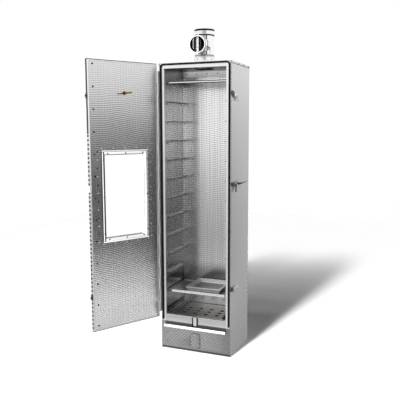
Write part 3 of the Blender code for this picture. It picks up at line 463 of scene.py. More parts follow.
def add_turned(bm, profile, matrix=Matrix(), sides=48, closed=True):
    """Points of (radius, height) turned about the local Z axis. A radius of 0 makes a pole."""
    rings = []
    for r, z in profile:
        turns = [0.0] if r < 1e-7 else around(sides)
        rings.append([bm.verts.new(matrix @ Vector((r * cos(t), r * sin(t), z))) for t in turns])
    pairs = list(zip(rings, rings[1:])) + ([(rings[-1], rings[0])] if closed else [])
    for first, second in pairs:
        for k in range(sides):
            j = (k + 1) % sides
            if len(first) == 1 and len(second) == 1:
                break
            if len(first) == 1:
                bm.faces.new((first[0], second[j], second[k]))
            elif len(second) == 1:
                bm.faces.new((first[k], first[j], second[0]))
            else:
                bm.faces.new((first[k], first[j], second[j], second[k]))


def add_tube(bm, path, radius, sides):
    """A round bar along a path of points."""
    path = [Vector(p) for p in path]
    rings = []
    side = None
    for i, point in enumerate(path):
        before = path[i - 1] if i else point
        after = path[i + 1] if i < len(path) - 1 else point
        tangent = (after - before).normalized()
        if side is None:
            side = tangent.orthogonal().normalized()
        side = (side - tangent * side.dot(tangent)).normalized()
        other = tangent.cross(side)
        rings.append([point + radius * (side * cos(t) + other * sin(t)) for t in around(sides)])
    add_loft(bm, rings)


def add_box(bm, low, high, matrix=Matrix()):
    low, high = Vector(low), Vector(high)
    made = bmesh.ops.create_cube(bm, size=1)["verts"]
    for v in made:
        v.co = matrix @ ((low + high) / 2 + v.co * (high - low))


def add_ring_frame(bm, low, high, profile, place=lambda x, d, z: (x, d, z)):
    """A closed profile of (inset, depth) points carried round a rectangle, with mitred corners."""
    (x0, z0), (x1, z1) = low, high
    rings = []
    for i in range(4):
        ring = []
        for inset, depth in profile:
            x = (x0 + inset, x1 - inset, x1 - inset, x0 + inset)[i]
            z = (z0 + inset, z0 + inset, z1 - inset, z1 - inset)[i]
            ring.append(place(x, depth, z))
        rings.append(ring)
    add_loft(bm, rings, closed_path=True)


def circle(centre, radius, steps=24):
    return [(centre[0] + radius * cos(t), centre[1] + radius * sin(t)) for t in around(steps)]


def arc(centre, radius, start, steps):
    """Points on a quarter circle from a start angle in degrees. Negative steps turn clockwise."""
    turns = [radians(start + 90 * k / steps) for k in range(abs(steps) + 1)]
    return [(centre[0] + radius * cos(t), centre[1] + radius * sin(t)) for t in turns]


def slot_hole(centre, half_length, half_width):
    """The outline of an upright hole with round ends."""
    points = []
    reach = half_length - half_width
    for start, shift in ((-pi / 2, reach), (pi / 2, -reach)):
        for t in (start + pi * k / 6 for k in range(7)):
            points.append((centre[0] - half_width * sin(t), centre[1] + shift + half_width * cos(t)))
    return points


def rectangle(x0, y0, x1, y1, radius):
    """A rectangle with rounded corners."""
    points = []
    for x, y, start in ((x1, y0, -90), (x1, y1, 0), (x0, y1, 90), (x0, y0, 180)):
        centre = (x - radius if x == x1 else x + radius, y - radius if y == y1 else y + radius)
        points += arc(centre, radius, start, 4)
    return points


def add_plate(bm, outline, holes, thickness, matrix=Matrix(), edge=0.0):
    """A flat sheet with holes, its middle on the local z = 0, moved by a matrix."""
    data = bpy.data.curves.new("outline", "CURVE")
    data.dimensions = "2D"
    data.fill_mode = "BOTH"
    data.extrude = thickness / 2 - edge
    data.bevel_depth = edge
    data.bevel_resolution = 1
    data.offset = -edge
    for loop in [outline, *holes]:
        spline = data.splines.new("POLY")
        spline.points.add(len(loop) - 1)
        for point, (x, y) in zip(spline.points, loop):
            point.co = (x, y, 0, 1)
        spline.use_cyclic_u = True
    obj = bpy.data.objects.new("outline", data)
    bpy.context.scene.collection.objects.link(obj)
    bpy.context.view_layer.update()
    mesh = bpy.data.meshes.new_from_object(obj.evaluated_get(bpy.context.evaluated_depsgraph_get()))
    bpy.data.objects.remove(obj)
    bpy.data.curves.remove(data)
    mesh.transform(matrix)
    before = len(bm.verts)
    bm.from_mesh(mesh)
    bpy.data.meshes.remove(mesh)
    bm.verts.ensure_lookup_table()
    bmesh.ops.remove_doubles(bm, verts=bm.verts[before:], dist=1e-6)


# Swaps y and z, which stands a plate's outline of (x, z) points up
STOOD_UP = Matrix(((1, 0, 0, 0), (0, 0, 1, 0), (0, 1, 0, 0), (0, 0, 0, 1)))


def upright(y):
    """Stands a plate up, with its middle at this y."""
    return Matrix.Translation((0, y, 0)) @ STOOD_UP


def facing(point, normal):
    """A frame at a point, with local +Z along the normal."""
    return Matrix.Translation(point) @ Vector(normal).to_track_quat("Z", "Y").to_matrix().to_4x4()


# Heads of fasteners, as shares of their radius and height
SCREW = (
    *((0.0, 0.35), (0.30, 0.35), (0.34, 0.92), (0.55, 1.0), (0.80, 0.82)),
    *((0.96, 0.45), (1.0, 0.0), (0.9, -0.3), (0.0, -0.3)),
)
RIVET = ((0.0, 1.0), (0.4, 0.94), (0.75, 0.68), (0.95, 0.3), (1.0, 0.0), (0.9, -0.3), (0.0, -0.3))


def add_heads(bm, points, normal, radius, height, profile=SCREW, sides=12):
    scaled = [(r * radius, z * height) for r, z in profile]
    for point in points:
        add_turned(bm, scaled, facing(point, normal), sides, closed=False)


def linked(name, bm):
    """A new object in the scene from a bmesh, which is freed."""
    bmesh.ops.recalc_face_normals(bm, faces=bm.faces)
    mesh = bpy.data.meshes.new(name)
    bm.to_mesh(mesh)
    bm.free()
    obj = bpy.data.objects.new(name, mesh)
    bpy.context.scene.collection.objects.link(obj)
    return obj


def ease(obj, width, segments, angle):
    """Rounds the edges that are sharper than an angle."""
    edges = obj.modifiers.new("edges", "BEVEL")
    edges.width = width
    edges.segments = segments
    edges.limit_method = "ANGLE"
    edges.angle_limit = radians(angle)
    edges.harden_normals = True


def piece(name, bm, mat, body, stands_for=(), local=Matrix(), bevel=0.0, angle=35):
    """Turns a bmesh in a local frame into a piece that rides on a body. The door's pieces cast no shadow."""
    obj = linked(name, bm)
    obj.data.shade_smooth()
    obj.data.set_sharp_from_angle(angle=radians(angle))
    obj.data.materials.append(mat)
    obj.matrix_world = local
    if bevel:
        ease(obj, bevel, 2, angle)
    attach(obj, body)
    obj.visible_shadow = body != "door"
    if stands_for:
        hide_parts(*stands_for)
    return obj


def dress(mat, *nodes, bevel=0.0, segments=2):
    """Gives CAD nodes a finish, and eased edges where asked."""
    for name in nodes:
        node = NODES[name]
        node.data.materials.clear()
        node.data.materials.append(mat)
        if bevel:
            ease(node, bevel, segments, 30)


def combined(operation, bm, *others):
    """A closed shape with others joined to it, by UNION, or taken away, by DIFFERENCE."""
    objects = [linked("combining", shape) for shape in (bm, *others)]
    for other in objects[1:]:
        step = objects[0].modifiers.new("step", "BOOLEAN")
        step.operation = operation
        step.solver = "EXACT"
        step.object = other
    bpy.context.view_layer.update()
    graph = bpy.context.evaluated_depsgraph_get()
    mesh = bpy.data.meshes.new_from_object(objects[0].evaluated_get(graph))
    result = bmesh.new()
    result.from_mesh(mesh)
    bpy.data.meshes.remove(mesh)
    for obj in objects:
        bpy.data.objects.remove(obj)
    return result


def pipe(centre, axis, radius, start, end, sides=64):
    """A solid round bar for joining or cutting, from start to end along an axis through the centre."""
    bm = bmesh.new()
    profile = [(0.0, end), (radius, end), (radius, start), (0.0, start)]
    add_turned(bm, profile, facing(centre, axis), sides, closed=False)
    return bm


# ---------------------------------------------------------------- cabinet shell


def build_casing():
    bm = bmesh.new()
    x, y = SIDE - HALF, BACK - HALF
    edge = SIDE - 9 * MM
    line = [(-edge, -y), (-x, -y), (-x, y), (x, y), (x, -y), (edge, -y)]
    add_bend(bm, line, CASING_LOW.z, CASING_HIGH.z, "Z", 3 * MM)
    piece("casing_sheet", bm, SATIN, "cabinet", ["outer_casing"], bevel=0.3 * MM)


def build_cover():
    low, high = extent("top_cover")
    bm = bmesh.new()
    x, top = high.x - HALF, high.z - HALF
    line = [(-x, low.z), (-x, top), (x, top), (x, low.z)]
    add_bend(bm, line, low.y, high.y - SHEET, "Y", 3 * MM)
    collar_low, collar_high = extent("flue_collar")
    centre = (collar_low + collar_high) / 2
    hole = pipe((centre.x, centre.y, low.z), Z, 51.6 * MM, -20 * MM, collar_high.z - low.z)
    bm = combined("DIFFERENCE", bm, hole)
    # Painted shade: the lower edge of the cover's sides is darker, where it laps the casing
    finish = steel(
        "cover_steel",
        *SATIN_SHEET,
        dark=lambda n: n.both(n.below(Z, low.z + 2.4 * MM), n.beyond(X, 0, high.x - 2 * MM)),
        left=0.1,
    )
    piece("cover_sheet", bm, finish, "cabinet", ["top_cover"], bevel=0.3 * MM)
    bm = bmesh.new()
    y = high.y - HALF
    flange = [(y - 14 * MM, top - SHEET), (y, top - SHEET), (y, low.z)]
    add_bend(bm, flange, -x + SHEET, x - SHEET, "X", 3 * MM)
    piece("cover_back_flange", bm, SATIN, "cabinet", bevel=0.3 * MM)
    bm = bmesh.new()
    z = (low.z + high.z) / 2 - 0.8 * MM
    for y in spread(-40 * MM, 120 * MM, 3):
        add_heads(bm, [(high.x, y, z)], X, 3.4 * MM, 1.7 * MM)
        add_heads(bm, [(low.x, y, z)], -X, 2.8 * MM, 1.7 * MM)
    for x in spread(-SIDE + 40 * MM, SIDE - 40 * MM, 3):
        add_heads(bm, [(x, high.y, z)], Y, 2.8 * MM, 1.7 * MM)
    piece("cover_screws", bm, SCREW_DARK, "cabinet")


def build_back_seam():
    """The lapped seam down the middle of the back, and rivets along the foot of the sides."""
    bm = bmesh.new()
    low, high = CASING_LOW.z + 16 * MM, CASING_HIGH.z - 14 * MM
    y = BACK + HALF
    add_bend(bm, [(-13 * MM, y), (13 * MM, y)], low, high, "Z", 0)
    piece("back_seam_strip", bm, SATIN, "cabinet", bevel=0.5 * MM)
    bm = bmesh.new()
    for side in (-1, 1):
        points = [(side * 8 * MM, BACK + SHEET, z) for z in spread(low + 12 * MM, high - 12 * MM, 16)]
        add_heads(bm, points, Y, 2.2 * MM, 1.1 * MM, RIVET)
    for side in (-1, 1):
        points = [(side * SIDE, y, 24 * MM) for y in spread(FRONT + 26 * MM, BACK - 26 * MM, 3)]
        add_heads(bm, points, side * X, 2.2 * MM, 1.1 * MM, RIVET)
    piece("casing_rivets", bm, SATIN, "cabinet")


def build_liner():
    low, high = extent("inner_liner")
    bm = bmesh.new()
    x, y = high.x - HALF, high.y - HALF
    add_bend(bm, [(-x, low.y), (-x, y), (x, y), (x, low.y)], low.z, high.z, "Z", 5 * MM)
    piece("liner_sheet", bm, LINER_SIDE, "cabinet", ["inner_liner"], bevel=0.2 * MM)


def build_front():
    dress(BRIGHT, "front_frame", bevel=0.45 * MM)
    low, high = extent("sill_strip")
    bm = bmesh.new()
    y, z = low.y + HALF, high.z - HALF
    line = [(y, low.z), (y, z), (high.y, z), (high.y, z - 6 * MM)]
    add_bend(bm, line, low.x, high.x, "X", 2.2 * MM)
    piece("sill_sheet", bm, STRIP, "cabinet", ["sill_strip"], bevel=0.25 * MM)


def build_gasket():
    """An inverted U of round bulb, with its two top corners on arcs."""
    low, high = extent("door_gasket")
    radius = (high.y - low.y) / 2
    corner = 15 * MM
    x, y, top = high.x - radius, (low.y + high.y) / 2, high.z - radius
    leg = [low.z, *spread(low.z + 100 * MM, top - corner, 14)]
    line = [(-x, z) for z in leg]
    line += arc((-x + corner, top - corner), corner, 180, -8)[1:]
    line += arc((x - corner, top - corner), corner, 90, -8)
    line += [(x, z) for z in leg[-2::-1]]
    bm = bmesh.new()
    add_tube(bm, [(a, y, b) for a, b in line], radius, 20)
    piece("gasket_bulb", bm, RUBBER, "cabinet", ["door_gasket"], angle=60)


def build_lower_front():
    low, high = extent("lower_front_panel")
    y = (low.y + high.y) / 2
    band = 11 * MM
    bm = bmesh.new()
    outline = rectangle(low.x, low.z + band, high.x, high.z, 0.8 * MM)
    inlet = rectangle(-20 * MM, 28 * MM, 20 * MM, 82 * MM, 5 * MM)
    hole = circle((0, joint_at("air_flap_swing").z), 2.5 * MM)
    add_plate(bm, outline, [inlet, hole], SHEET, upright(y), 0.3 * MM)
    piece("front_panel_sheet", bm, HATCHED, "cabinet", ["lower_front_panel"])
    bm = bmesh.new()
    setback = 0.8 * MM
    line = [(y + 0.5 * MM, low.z), (y + 0.5 * MM, low.z + band - setback)]
    add_bend(bm, line, low.x, high.x, "X", 0, SHEET - setback)
    piece("plinth_band", bm, PLINTH, "cabinet", bevel=0.1 * MM)
    bm = bmesh.new()
    points = [(side * 160 * MM, low.y, z) for side in (-1, 1) for z in (40 * MM, 90 * MM)]
    add_heads(bm, points, -Y, 2.4 * MM, 1.4 * MM)
    piece("front_panel_screws", bm, SCREW_DARK, "cabinet")
    build_flap(hole)


def build_flap(hole):
    """The swinging plate over the air inlet, rounded at the top, with its pivot screw."""
    low, high = extent("air_flap")
    bm = bmesh.new()
    r, nip = 12 * MM, 2 * MM
    outline = [(low.x + nip, low.z), (high.x - nip, low.z), (high.x, low.z + nip)]
    outline += arc((high.x - r, high.z - r), r, 0, 8) + arc((low.x + r, high.z - r), r, 90, 8)
    outline.append((low.x, low.z + nip))
    add_plate(bm, outline, [hole], high.y - low.y, upright((low.y + high.y) / 2), 0.35 * MM)
    add_heads(bm, [(0, low.y, low.z + 10 * MM)], -Y, 3.2 * MM, 1.6 * MM, RIVET)
    rim = 2.6 * MM

    # Painted shadow: a dashed dark line round the flap's edge, for the gap behind it
    def flap_outline_shade(n):
        edge = n.either(n.beyond(X, 0, high.x - rim), n.above(Z, high.z - rim), n.below(Z, low.z + rim))
        return n.both(edge, n.dashes(X + Z, 23 * MM, -0.35))

    finish = steel("flap_steel", *HATCHED_SHEET, hatch=0.16, dark=flap_outline_shade, left=0.12)
    piece("flap_plate", bm, finish, "flap", ["air_flap"])
    low, high = extent("flap_screw")
    bm = bmesh.new()
    z = (low.z + high.z) / 2
    add_heads(bm, [(0, low.y + 1.9 * MM, z)], -Y, 4.4 * MM, 1.9 * MM, sides=20)
    seat, r = 2.1 * MM, 2.2 * MM
    length = high.y - low.y - seat
    shank = [(0, 0), (r, 0), (r, -length), (0, -length)]
    add_turned(bm, shank, facing((0, low.y + seat, z), -Y), 20, closed=False)
    piece("flap_pivot_screw", bm, SCREW_BRIGHT, "cabinet", ["flap_screw"])


def build_gutter():
    low, high = extent("drip_gutter")
    bm = bmesh.new()
    lip = 137.4 * MM
    back, front, floor = high.y - HALF, low.y + HALF, low.z + HALF
    line = [(back, high.z), (back, floor), (front, floor), (front, lip), (front + 2.4 * MM, lip)]
    add_bend(bm, line, low.x, high.x, "X", 2 * MM)
    outline = rectangle(low.y + 0.3 * MM, low.z + 0.3 * MM, high.y - 0.1 * MM, lip - 0.4 * MM, 2 * MM)
    for side in (-1, 1):
        place = Matrix(((0, 0, 1, side * (high.x - HALF)), (1, 0, 0, 0), (0, 1, 0, 0), (0, 0, 0, 1)))
        add_plate(bm, outline, [], SHEET, place, 0.3 * MM)
    # Painted shade: the gutter is near black behind the front face of its lip, in the trough
    finish = steel(
        "gutter_steel",
        *("bright_steel", 0.93, 0.32, CROSSWISE, 0.06, 0.04),
        metal=0.25,
        dark=lambda n: n.above(Y, low.y + 3 * MM),
    )
    piece("gutter_trough", bm, finish, "cabinet", ["drip_gutter"], bevel=0.2 * MM)


def build_spout():
    low, high = extent("drain_spout")
    bm = bmesh.new()
    back = -149.5 * MM
    left, right = low.x + HALF, high.x - HALF
    add_bend(bm, [(left, low.y), (left, back), (right, back), (right, low.y)], low.z, high.z, "Z", 1.6 * MM)
    add_box(bm, (low.x + 2 * MM, back - HALF, high.z - SHEET), (high.x - 2 * MM, high.y, high.z))
    middle = (low.x + high.x) / 2
    edge = (high.x - low.x) / 2 - 5 * MM
    # Painted shadow: the spout's two sides are near black, while its middle stays bright
    finish = steel(
        "spout_steel",
        *("bright_steel", 0.86, 0.2, VERTICAL, 0.05, 0.03),
        dark=lambda n: n.beyond(X, middle, edge),
    )
    piece("spout_channel", bm, finish, "cabinet", ["drain_spout"], bevel=0.25 * MM)


def build_header():
    low, high = extent("back_header")
    bm = bmesh.new()
    outline = rectangle(low.x, low.z, high.x, high.z, 1.5 * MM)
    add_plate(bm, outline, [], high.y - low.y, upright((low.y + high.y) / 2), 0.4 * MM)
    piece("header_strip", bm, BEAD, "cabinet", ["back_header"])
    bm = bmesh.new()
    level = 1465 * MM
    points = [(x, low.y, level) for x in spread(-150 * MM, 150 * MM, 6)]
    add_heads(bm, points, -Y, 3.2 * MM, 2.2 * MM)
    piece("header_screws", bm, SCREW_DARK, "cabinet")


RAIL_PITCH = 100 * MM
RAIL_LEVELS = 12
RAIL_SHEET = 1.5 * MM


def build_rails():
    for side, word in ((-1, "left"), (1, "right")):
        node = f"rail_rack_{word}"
        low, high = extent(node)
        wall = (high.x if side > 0 else low.x) - side * RAIL_SHEET / 2
        tip = (low.x if side > 0 else high.x) + side * RAIL_SHEET / 2
        screws, washers = bmesh.new(), bmesh.new()
        for level in range(RAIL_LEVELS):
            z = high.z - level * RAIL_PITCH - RAIL_SHEET / 2
            bm = bmesh.new()
            line = [(wall, z - 17 * MM), (wall, z), (tip, z), (tip, z - 4 * MM)]
            add_bend(bm, line, low.y, high.y, "Y", 2 * MM, RAIL_SHEET)
            name = f"runner_{word}_{RAIL_LEVELS - level:02d}"
            piece(name, bm, RAIL, "cabinet", bevel=0.25 * MM)
            face = wall - side * RAIL_SHEET / 2
            points = [(face, y, z - 11 * MM) for y in (low.y + 16 * MM, high.y - 26 * MM)]
            add_heads(screws, points, -side * X, 3.4 * MM, 2.4 * MM)
            add_heads(washers, points, -side * X, 5.4 * MM, 0.7 * MM, RIVET)
        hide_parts(node)
        piece(f"runner_screws_{word}", screws, SCREW_DARK, "cabinet")
        piece(f"runner_washers_{word}", washers, SCREW_BRIGHT, "cabinet")


# ---------------------------------------------------------------- loose pieces inside


def build_tray():
    low, high = extent("shelf_tray")
    floor = high.z - 6 * MM + HALF
    front = low.y + 2.4 * MM
    bm = bmesh.new()
    outline = rectangle(low.x + HALF, front, high.x - HALF, high.y - HALF, 2 * MM)
    holes = []
    for side in (-1, 1):
        for y in spread(front + 16 * MM, high.y - 18 * MM, 9):
            holes.append(slot_hole((side * (high.x - 13 * MM), y), 7.5 * MM, 2.4 * MM))
    add_plate(bm, outline, holes, SHEET, Matrix.Translation((0, 0, floor)), 0.3 * MM)
    for side in (-1, 1):
        x = side * (high.x - HALF)
        line = [(x, floor), (x, high.z - HALF), (x - side * 3 * MM, high.z - HALF)]
        add_bend(bm, line, front, high.y, "Y", 1 * MM)
    line = [(high.y - HALF, floor), (high.y - HALF, high.z)]
    add_bend(bm, line, low.x + HALF, high.x - HALF, "X", 0)
    piece("tray_sheet", bm, TRAY, "shelf", ["shelf_tray"], bevel=0.25 * MM)
    bm = bmesh.new()
    reach = 149 * MM
    top, bottom, lip = high.z - HALF, low.z + HALF, low.y + HALF
    line = [(front + 5 * MM, top), (lip, top), (lip, bottom), (front + 1 * MM, bottom)]
    add_bend(bm, line, -reach, reach, "X", 1.8 * MM)
    piece("tray_front_lip", bm, BRIGHT, "shelf", bevel=0.3 * MM)


def build_pan():
    low, high = extent("mesh_pan")
    flare = 9 * MM
    bottom, top = low.z + HALF, high.z - HALF
    rise = top - bottom
    lean = Vector((0, flare, rise)).length
    bm = bmesh.new()
    outline = rectangle(low.x + flare, low.y + flare, high.x - flare, high.y - flare, 5 * MM)
    add_plate(bm, outline, [], SHEET, Matrix.Translation((0, 0, bottom)), 0.3 * MM)
    plan = ((low.x, low.y), (high.x, low.y), (high.x, high.y), (low.x, high.y))
    corners = [Vector((x, y, 0)) for x, y in plan]
    for number, (start, end) in enumerate(zip(corners, corners[1:] + corners[:1])):
        length = (end - start).length
        run = (end - start).normalized()
        outward = Vector((run.y, -run.x, 0))
        up = (outward * flare + Vector((0, 0, rise))).normalized()
        normal = run.cross(up)
        place = Matrix((run, up, normal)).transposed().to_4x4()
        place.translation = start - outward * flare + Vector((0, 0, bottom)) + normal * SHEET / 2
        holes = []
        if number == 0:
            for x in spread(20 * MM, length - 20 * MM, 14):
                holes.append(slot_hole((x, 0.52 * lean), 5.5 * MM, 1.9 * MM))
        else:
            for row, height in enumerate((0.36, 0.66)):
                for x in spread(18 * MM, length - 18 * MM, 22 - row):
                    holes.append(circle((x, height * lean), 1.7 * MM, 10))
        wall = [(flare, 0), (length - flare, 0), (length, lean), (0, lean)]
        add_plate(bm, wall, holes, SHEET, place, 0.25 * MM)
    piece("pan_body", bm, TRAY, "pan", ["mesh_pan"])
    bm = bmesh.new()
    rolled = mm(
        *((-0.2, -3.2), (-0.6, -0.8), (0.4, 0.4), (1.8, 0.6), (6.2, 0.6)),
        *((6.8, 0.0), (6.2, -0.6), (1.6, -0.6), (0.8, -1.2), (0.8, -3.2)),
    )
    add_ring_frame(bm, (low.x, low.y), (high.x, high.y), rolled, lambda x, d, y: (x, y, top + d))
    piece("pan_rim", bm, BRIGHT, "pan", bevel=0.15 * MM)


def build_baffle():
    low, high = extent("top_baffle")
    bm = bmesh.new()
    front, top, foot = low.y + HALF, high.z - HALF, low.z + HALF
    line = [(high.y, top), (front, top), (front, foot), (front + 5 * MM, foot)]
    add_bend(bm, line, low.x, high.x, "X", 1.8 * MM)
    middle = (low.z + high.z) / 2
    # Painted shade: two dark lines along the front lip, over and under its bright middle
    finish = steel(
        "baffle_steel",
        *("bright_steel", 0.86, 0.25, CROSSWISE, 0.12, 0.05),
        dark=lambda n: n.both(n.below(Y, low.y + 3 * MM), n.beyond(Z, middle, 2.4 * MM)),
    )
    piece("baffle_sheet", bm, finish, "baffle", ["top_baffle"], bevel=0.3 * MM)


FLOOR_HOLE = 11.5 * MM


def build_floor():
    low, high = extent("floor_plate")
    z = low.z + HALF
    centres = mm(*[(x, y) for x in (-93, -31, 31, 93) for y in (-69, -29, 12)])
    bm = bmesh.new()
    outline = rectangle(low.x + HALF, low.y, high.x - HALF, high.y, 1 * MM)
    holes = [circle(centre, FLOOR_HOLE + 0.5 * MM, 28) for centre in centres]
    add_plate(bm, outline, holes, SHEET, Matrix.Translation((0, 0, z)), 0.2 * MM)
    lip = [
        *((FLOOR_HOLE + 1.2 * MM, HALF), (FLOOR_HOLE + 0.4 * MM, 0.8 * MM), (FLOOR_HOLE, 0.2 * MM)),
        *((FLOOR_HOLE, -1.4 * MM), (FLOOR_HOLE + 0.6 * MM, -1.4 * MM)),
        *((FLOOR_HOLE + 0.6 * MM, -HALF), (FLOOR_HOLE + 1.2 * MM, -HALF)),
    ]
    for x, y in centres:
        add_turned(bm, lip, Matrix.Translation((x, y, z)), 28)
    for side in (-1, 1):
        x = side * (high.x - HALF)
        line = [(x, z), (x, high.z - HALF), (x - side * 3.5 * MM, high.z - HALF)]
        add_bend(bm, line, low.y, high.y, "Y", 1.2 * MM)
    piece("floor_sheet", bm, DULLED, "floor", ["floor_plate"], bevel=0.2 * MM)
    dress(RAIL, "floor_ledge_left", "floor_ledge_right", bevel=0.3 * MM)
    dress(DARK, "chip_pan", "chip_pan_stand", bevel=0.3 * MM)


# ---------------------------------------------------------------- flue


COLLAR_LOW, COLLAR_HIGH = extent("flue_collar")
FLUE = Vector(((COLLAR_LOW.x + COLLAR_HIGH.x) / 2, (COLLAR_LOW.y + COLLAR_HIGH.y) / 2, 0))
# Inner and outer radius of the collar and the socket
BORE, SLEEVE = 49.9 * MM, 51.3 * MM


def build_collar():
    top, flange = COLLAR_HIGH.z, 1500.3 * MM
    bm = bmesh.new()
    profile = [
        *((BORE, COLLAR_LOW.z), (SLEEVE, COLLAR_LOW.z), (SLEEVE, flange), (62 * MM, flange)),
        *((62 * MM, flange + 0.8 * MM), (61.4 * MM, flange + 1.2 * MM), (54 * MM, flange + 1.2 * MM)),
        *((52.2 * MM, flange + 1.9 * MM), (SLEEVE, flange + 3.6 * MM), (SLEEVE, top - 13 * MM)),
        *((52.3 * MM, top - 11.8 * MM), (52.9 * MM, top - 10 * MM), (52.3 * MM, top - 8.2 * MM)),
        *((SLEEVE, top - 7 * MM), (SLEEVE, top - 0.6 * MM), (SLEEVE - 0.5 * MM, top), (BORE, top)),
    ]
    add_turned(bm, profile, Matrix.Translation(FLUE), 96)
    # Painted shade: a dark band round the top of the collar, at the joint with the tee, and a dark ring in
    # the step above the flange
    finish = steel(
        "collar_steel",
        *SPUN,
        dark=lambda n: n.either(n.above(Z, top - 8 * MM), n.within(Z, flange + 2.4 * MM, 1.2 * MM)),
        left=0.35,
    )
    piece("collar_spun", bm, finish, "cabinet", ["flue_collar"])
    bm = bmesh.new()
    for k in range(8):
        t = 2 * pi * (k + 0.5) / 8
        out = Vector((cos(t), sin(t), 0))
        add_heads(bm, [FLUE + out * SLEEVE + (top + flange) / 2 * Z], out, 2.6 * MM, 1.6 * MM)
        add_heads(bm, [FLUE + out * 57.6 * MM + (flange + 1.2 * MM) * Z], Z, 2.4 * MM, 1.5 * MM)
    piece("collar_screws", bm, SCREW_DARK, "cabinet")


TEE = 49.5 * MM
TEE_WALL = 1.5 * MM
BRANCH = 42.5 * MM
# Direction in plan of the tee's lengthwise seam
TEE_SEAM = radians(-56)


def build_tee():
    """The tee and its side branch, joined and bored out, with a rolled rim at the branch's mouth."""
    low, high = extent("flue_tee")
    axle = joint_at("damper_turn")
    z = axle.z
    start = (FLUE.x, FLUE.y, z)
    length = FLUE.y - low.y
    body = pipe(FLUE, Z, TEE, low.z, high.z, 96)
    arm = pipe(start, -Y, BRANCH, 0, length - 3 * MM, 80)
    shell = combined(
        "DIFFERENCE",
        combined("UNION", body, arm),
        pipe(FLUE, Z, TEE - TEE_WALL, low.z - 10 * MM, high.z + 10 * MM, 96),
        pipe(start, -Y, BRANCH - TEE_WALL, 0, 200 * MM, 80),
        pipe((FLUE.x, axle.y, z), Z, 3.4 * MM, -60 * MM, 60 * MM, 24),
    )
    inset = 0.6 * MM

    # The lengthwise seam is dark, and the inside of the tee and of its branch is painted shade
    def tee_seam_and_shade(n):
        towards = Vector((cos(TEE_SEAM), sin(TEE_SEAM), 0))
        across = Vector((-towards.y, towards.x, 0))
        seam = n.both(n.within(across, across.dot(FLUE), 2.6 * MM), n.above(towards, towards.dot(FLUE)))
        inside = n.maths("LESS_THAN", n.off_axis((X, FLUE.x), (Y, FLUE.y)), TEE - inset)
        in_branch = n.maths("LESS_THAN", n.off_axis((X, FLUE.x), (Z, z)), BRANCH - inset)
        return n.either(seam, inside, n.both(in_branch, n.below(Y, FLUE.y - 20 * MM)))

    finish = steel("tee_steel", *SPUN, dark=tee_seam_and_shade)
    piece("tee_body", shell, finish, "cabinet", ["flue_tee"], angle=40)
    bm = bmesh.new()
    rim = mm(
        *((-3.4, -6), (-3.4, -1.6), (-2.4, -0.3), (-1, 0), (0.6, -0.5)),
        *((1.5, -2), (1.4, -4), (0.3, -5.6), (0.3, -9), (-1.6, -9)),
    )
    add_turned(bm, [(BRANCH + a, length + b) for a, b in rim], facing(start, -Y), 80)
    # Painted shade: the rim is darkened on its outer curl and behind its front lip
    finish = steel(
        "branch_rim_steel",
        *("bright_steel", 0.95, 0.3, VERTICAL, 0.04, 0.03),
        metal=0.3,
        dark=lambda n: n.either(
            n.above(Y, low.y + 6.4 * MM),
            n.over(n.off_axis((X, FLUE.x), (Z, z)), BRANCH + 0.8 * MM),
        ),
        left=0.25,
    )
    piece("branch_rim", bm, finish, "cabinet")


def build_socket():
    low, high = extent("flue_socket")
    bottom, top = low.z, high.z
    bm = bmesh.new()
    profile = [
        *((BORE, bottom + 0.5 * MM), (BORE + 0.6 * MM, bottom), (SLEEVE, bottom + 0.5 * MM)),
        *((SLEEVE, bottom + 2 * MM), (52.5 * MM, bottom + 3.4 * MM), (52.9 * MM, bottom + 5 * MM)),
        *((52.5 * MM, bottom + 6.6 * MM), (SLEEVE, bottom + 8 * MM), (SLEEVE, top - 5.4 * MM)),
        *((52.2 * MM, top - 4.4 * MM), (53 * MM, top - 3 * MM), (53 * MM, top - 1.2 * MM)),
        *((52.2 * MM, top), (BORE + 1 * MM, top), (BORE, top - 1 * MM)),
    ]
    add_turned(bm, profile, Matrix.Translation(FLUE), 96)
    # Painted shade: near black bands at the rolled top rim and at the foot, in the joint
    finish = steel(
        "socket_steel",
        *SPUN,
        dark=lambda n: n.either(n.above(Z, top - 9 * MM), n.below(Z, bottom + 6 * MM)),
        left=0.02,
    )
    piece("socket_spun", bm, finish, "cabinet", ["flue_socket"])


def mirrored(profile):
    """A profile of (radius, height) down to a height of 0, carried on as its own reflection."""
    return profile + [(r, -h) for r, h in profile[::-1] if h]


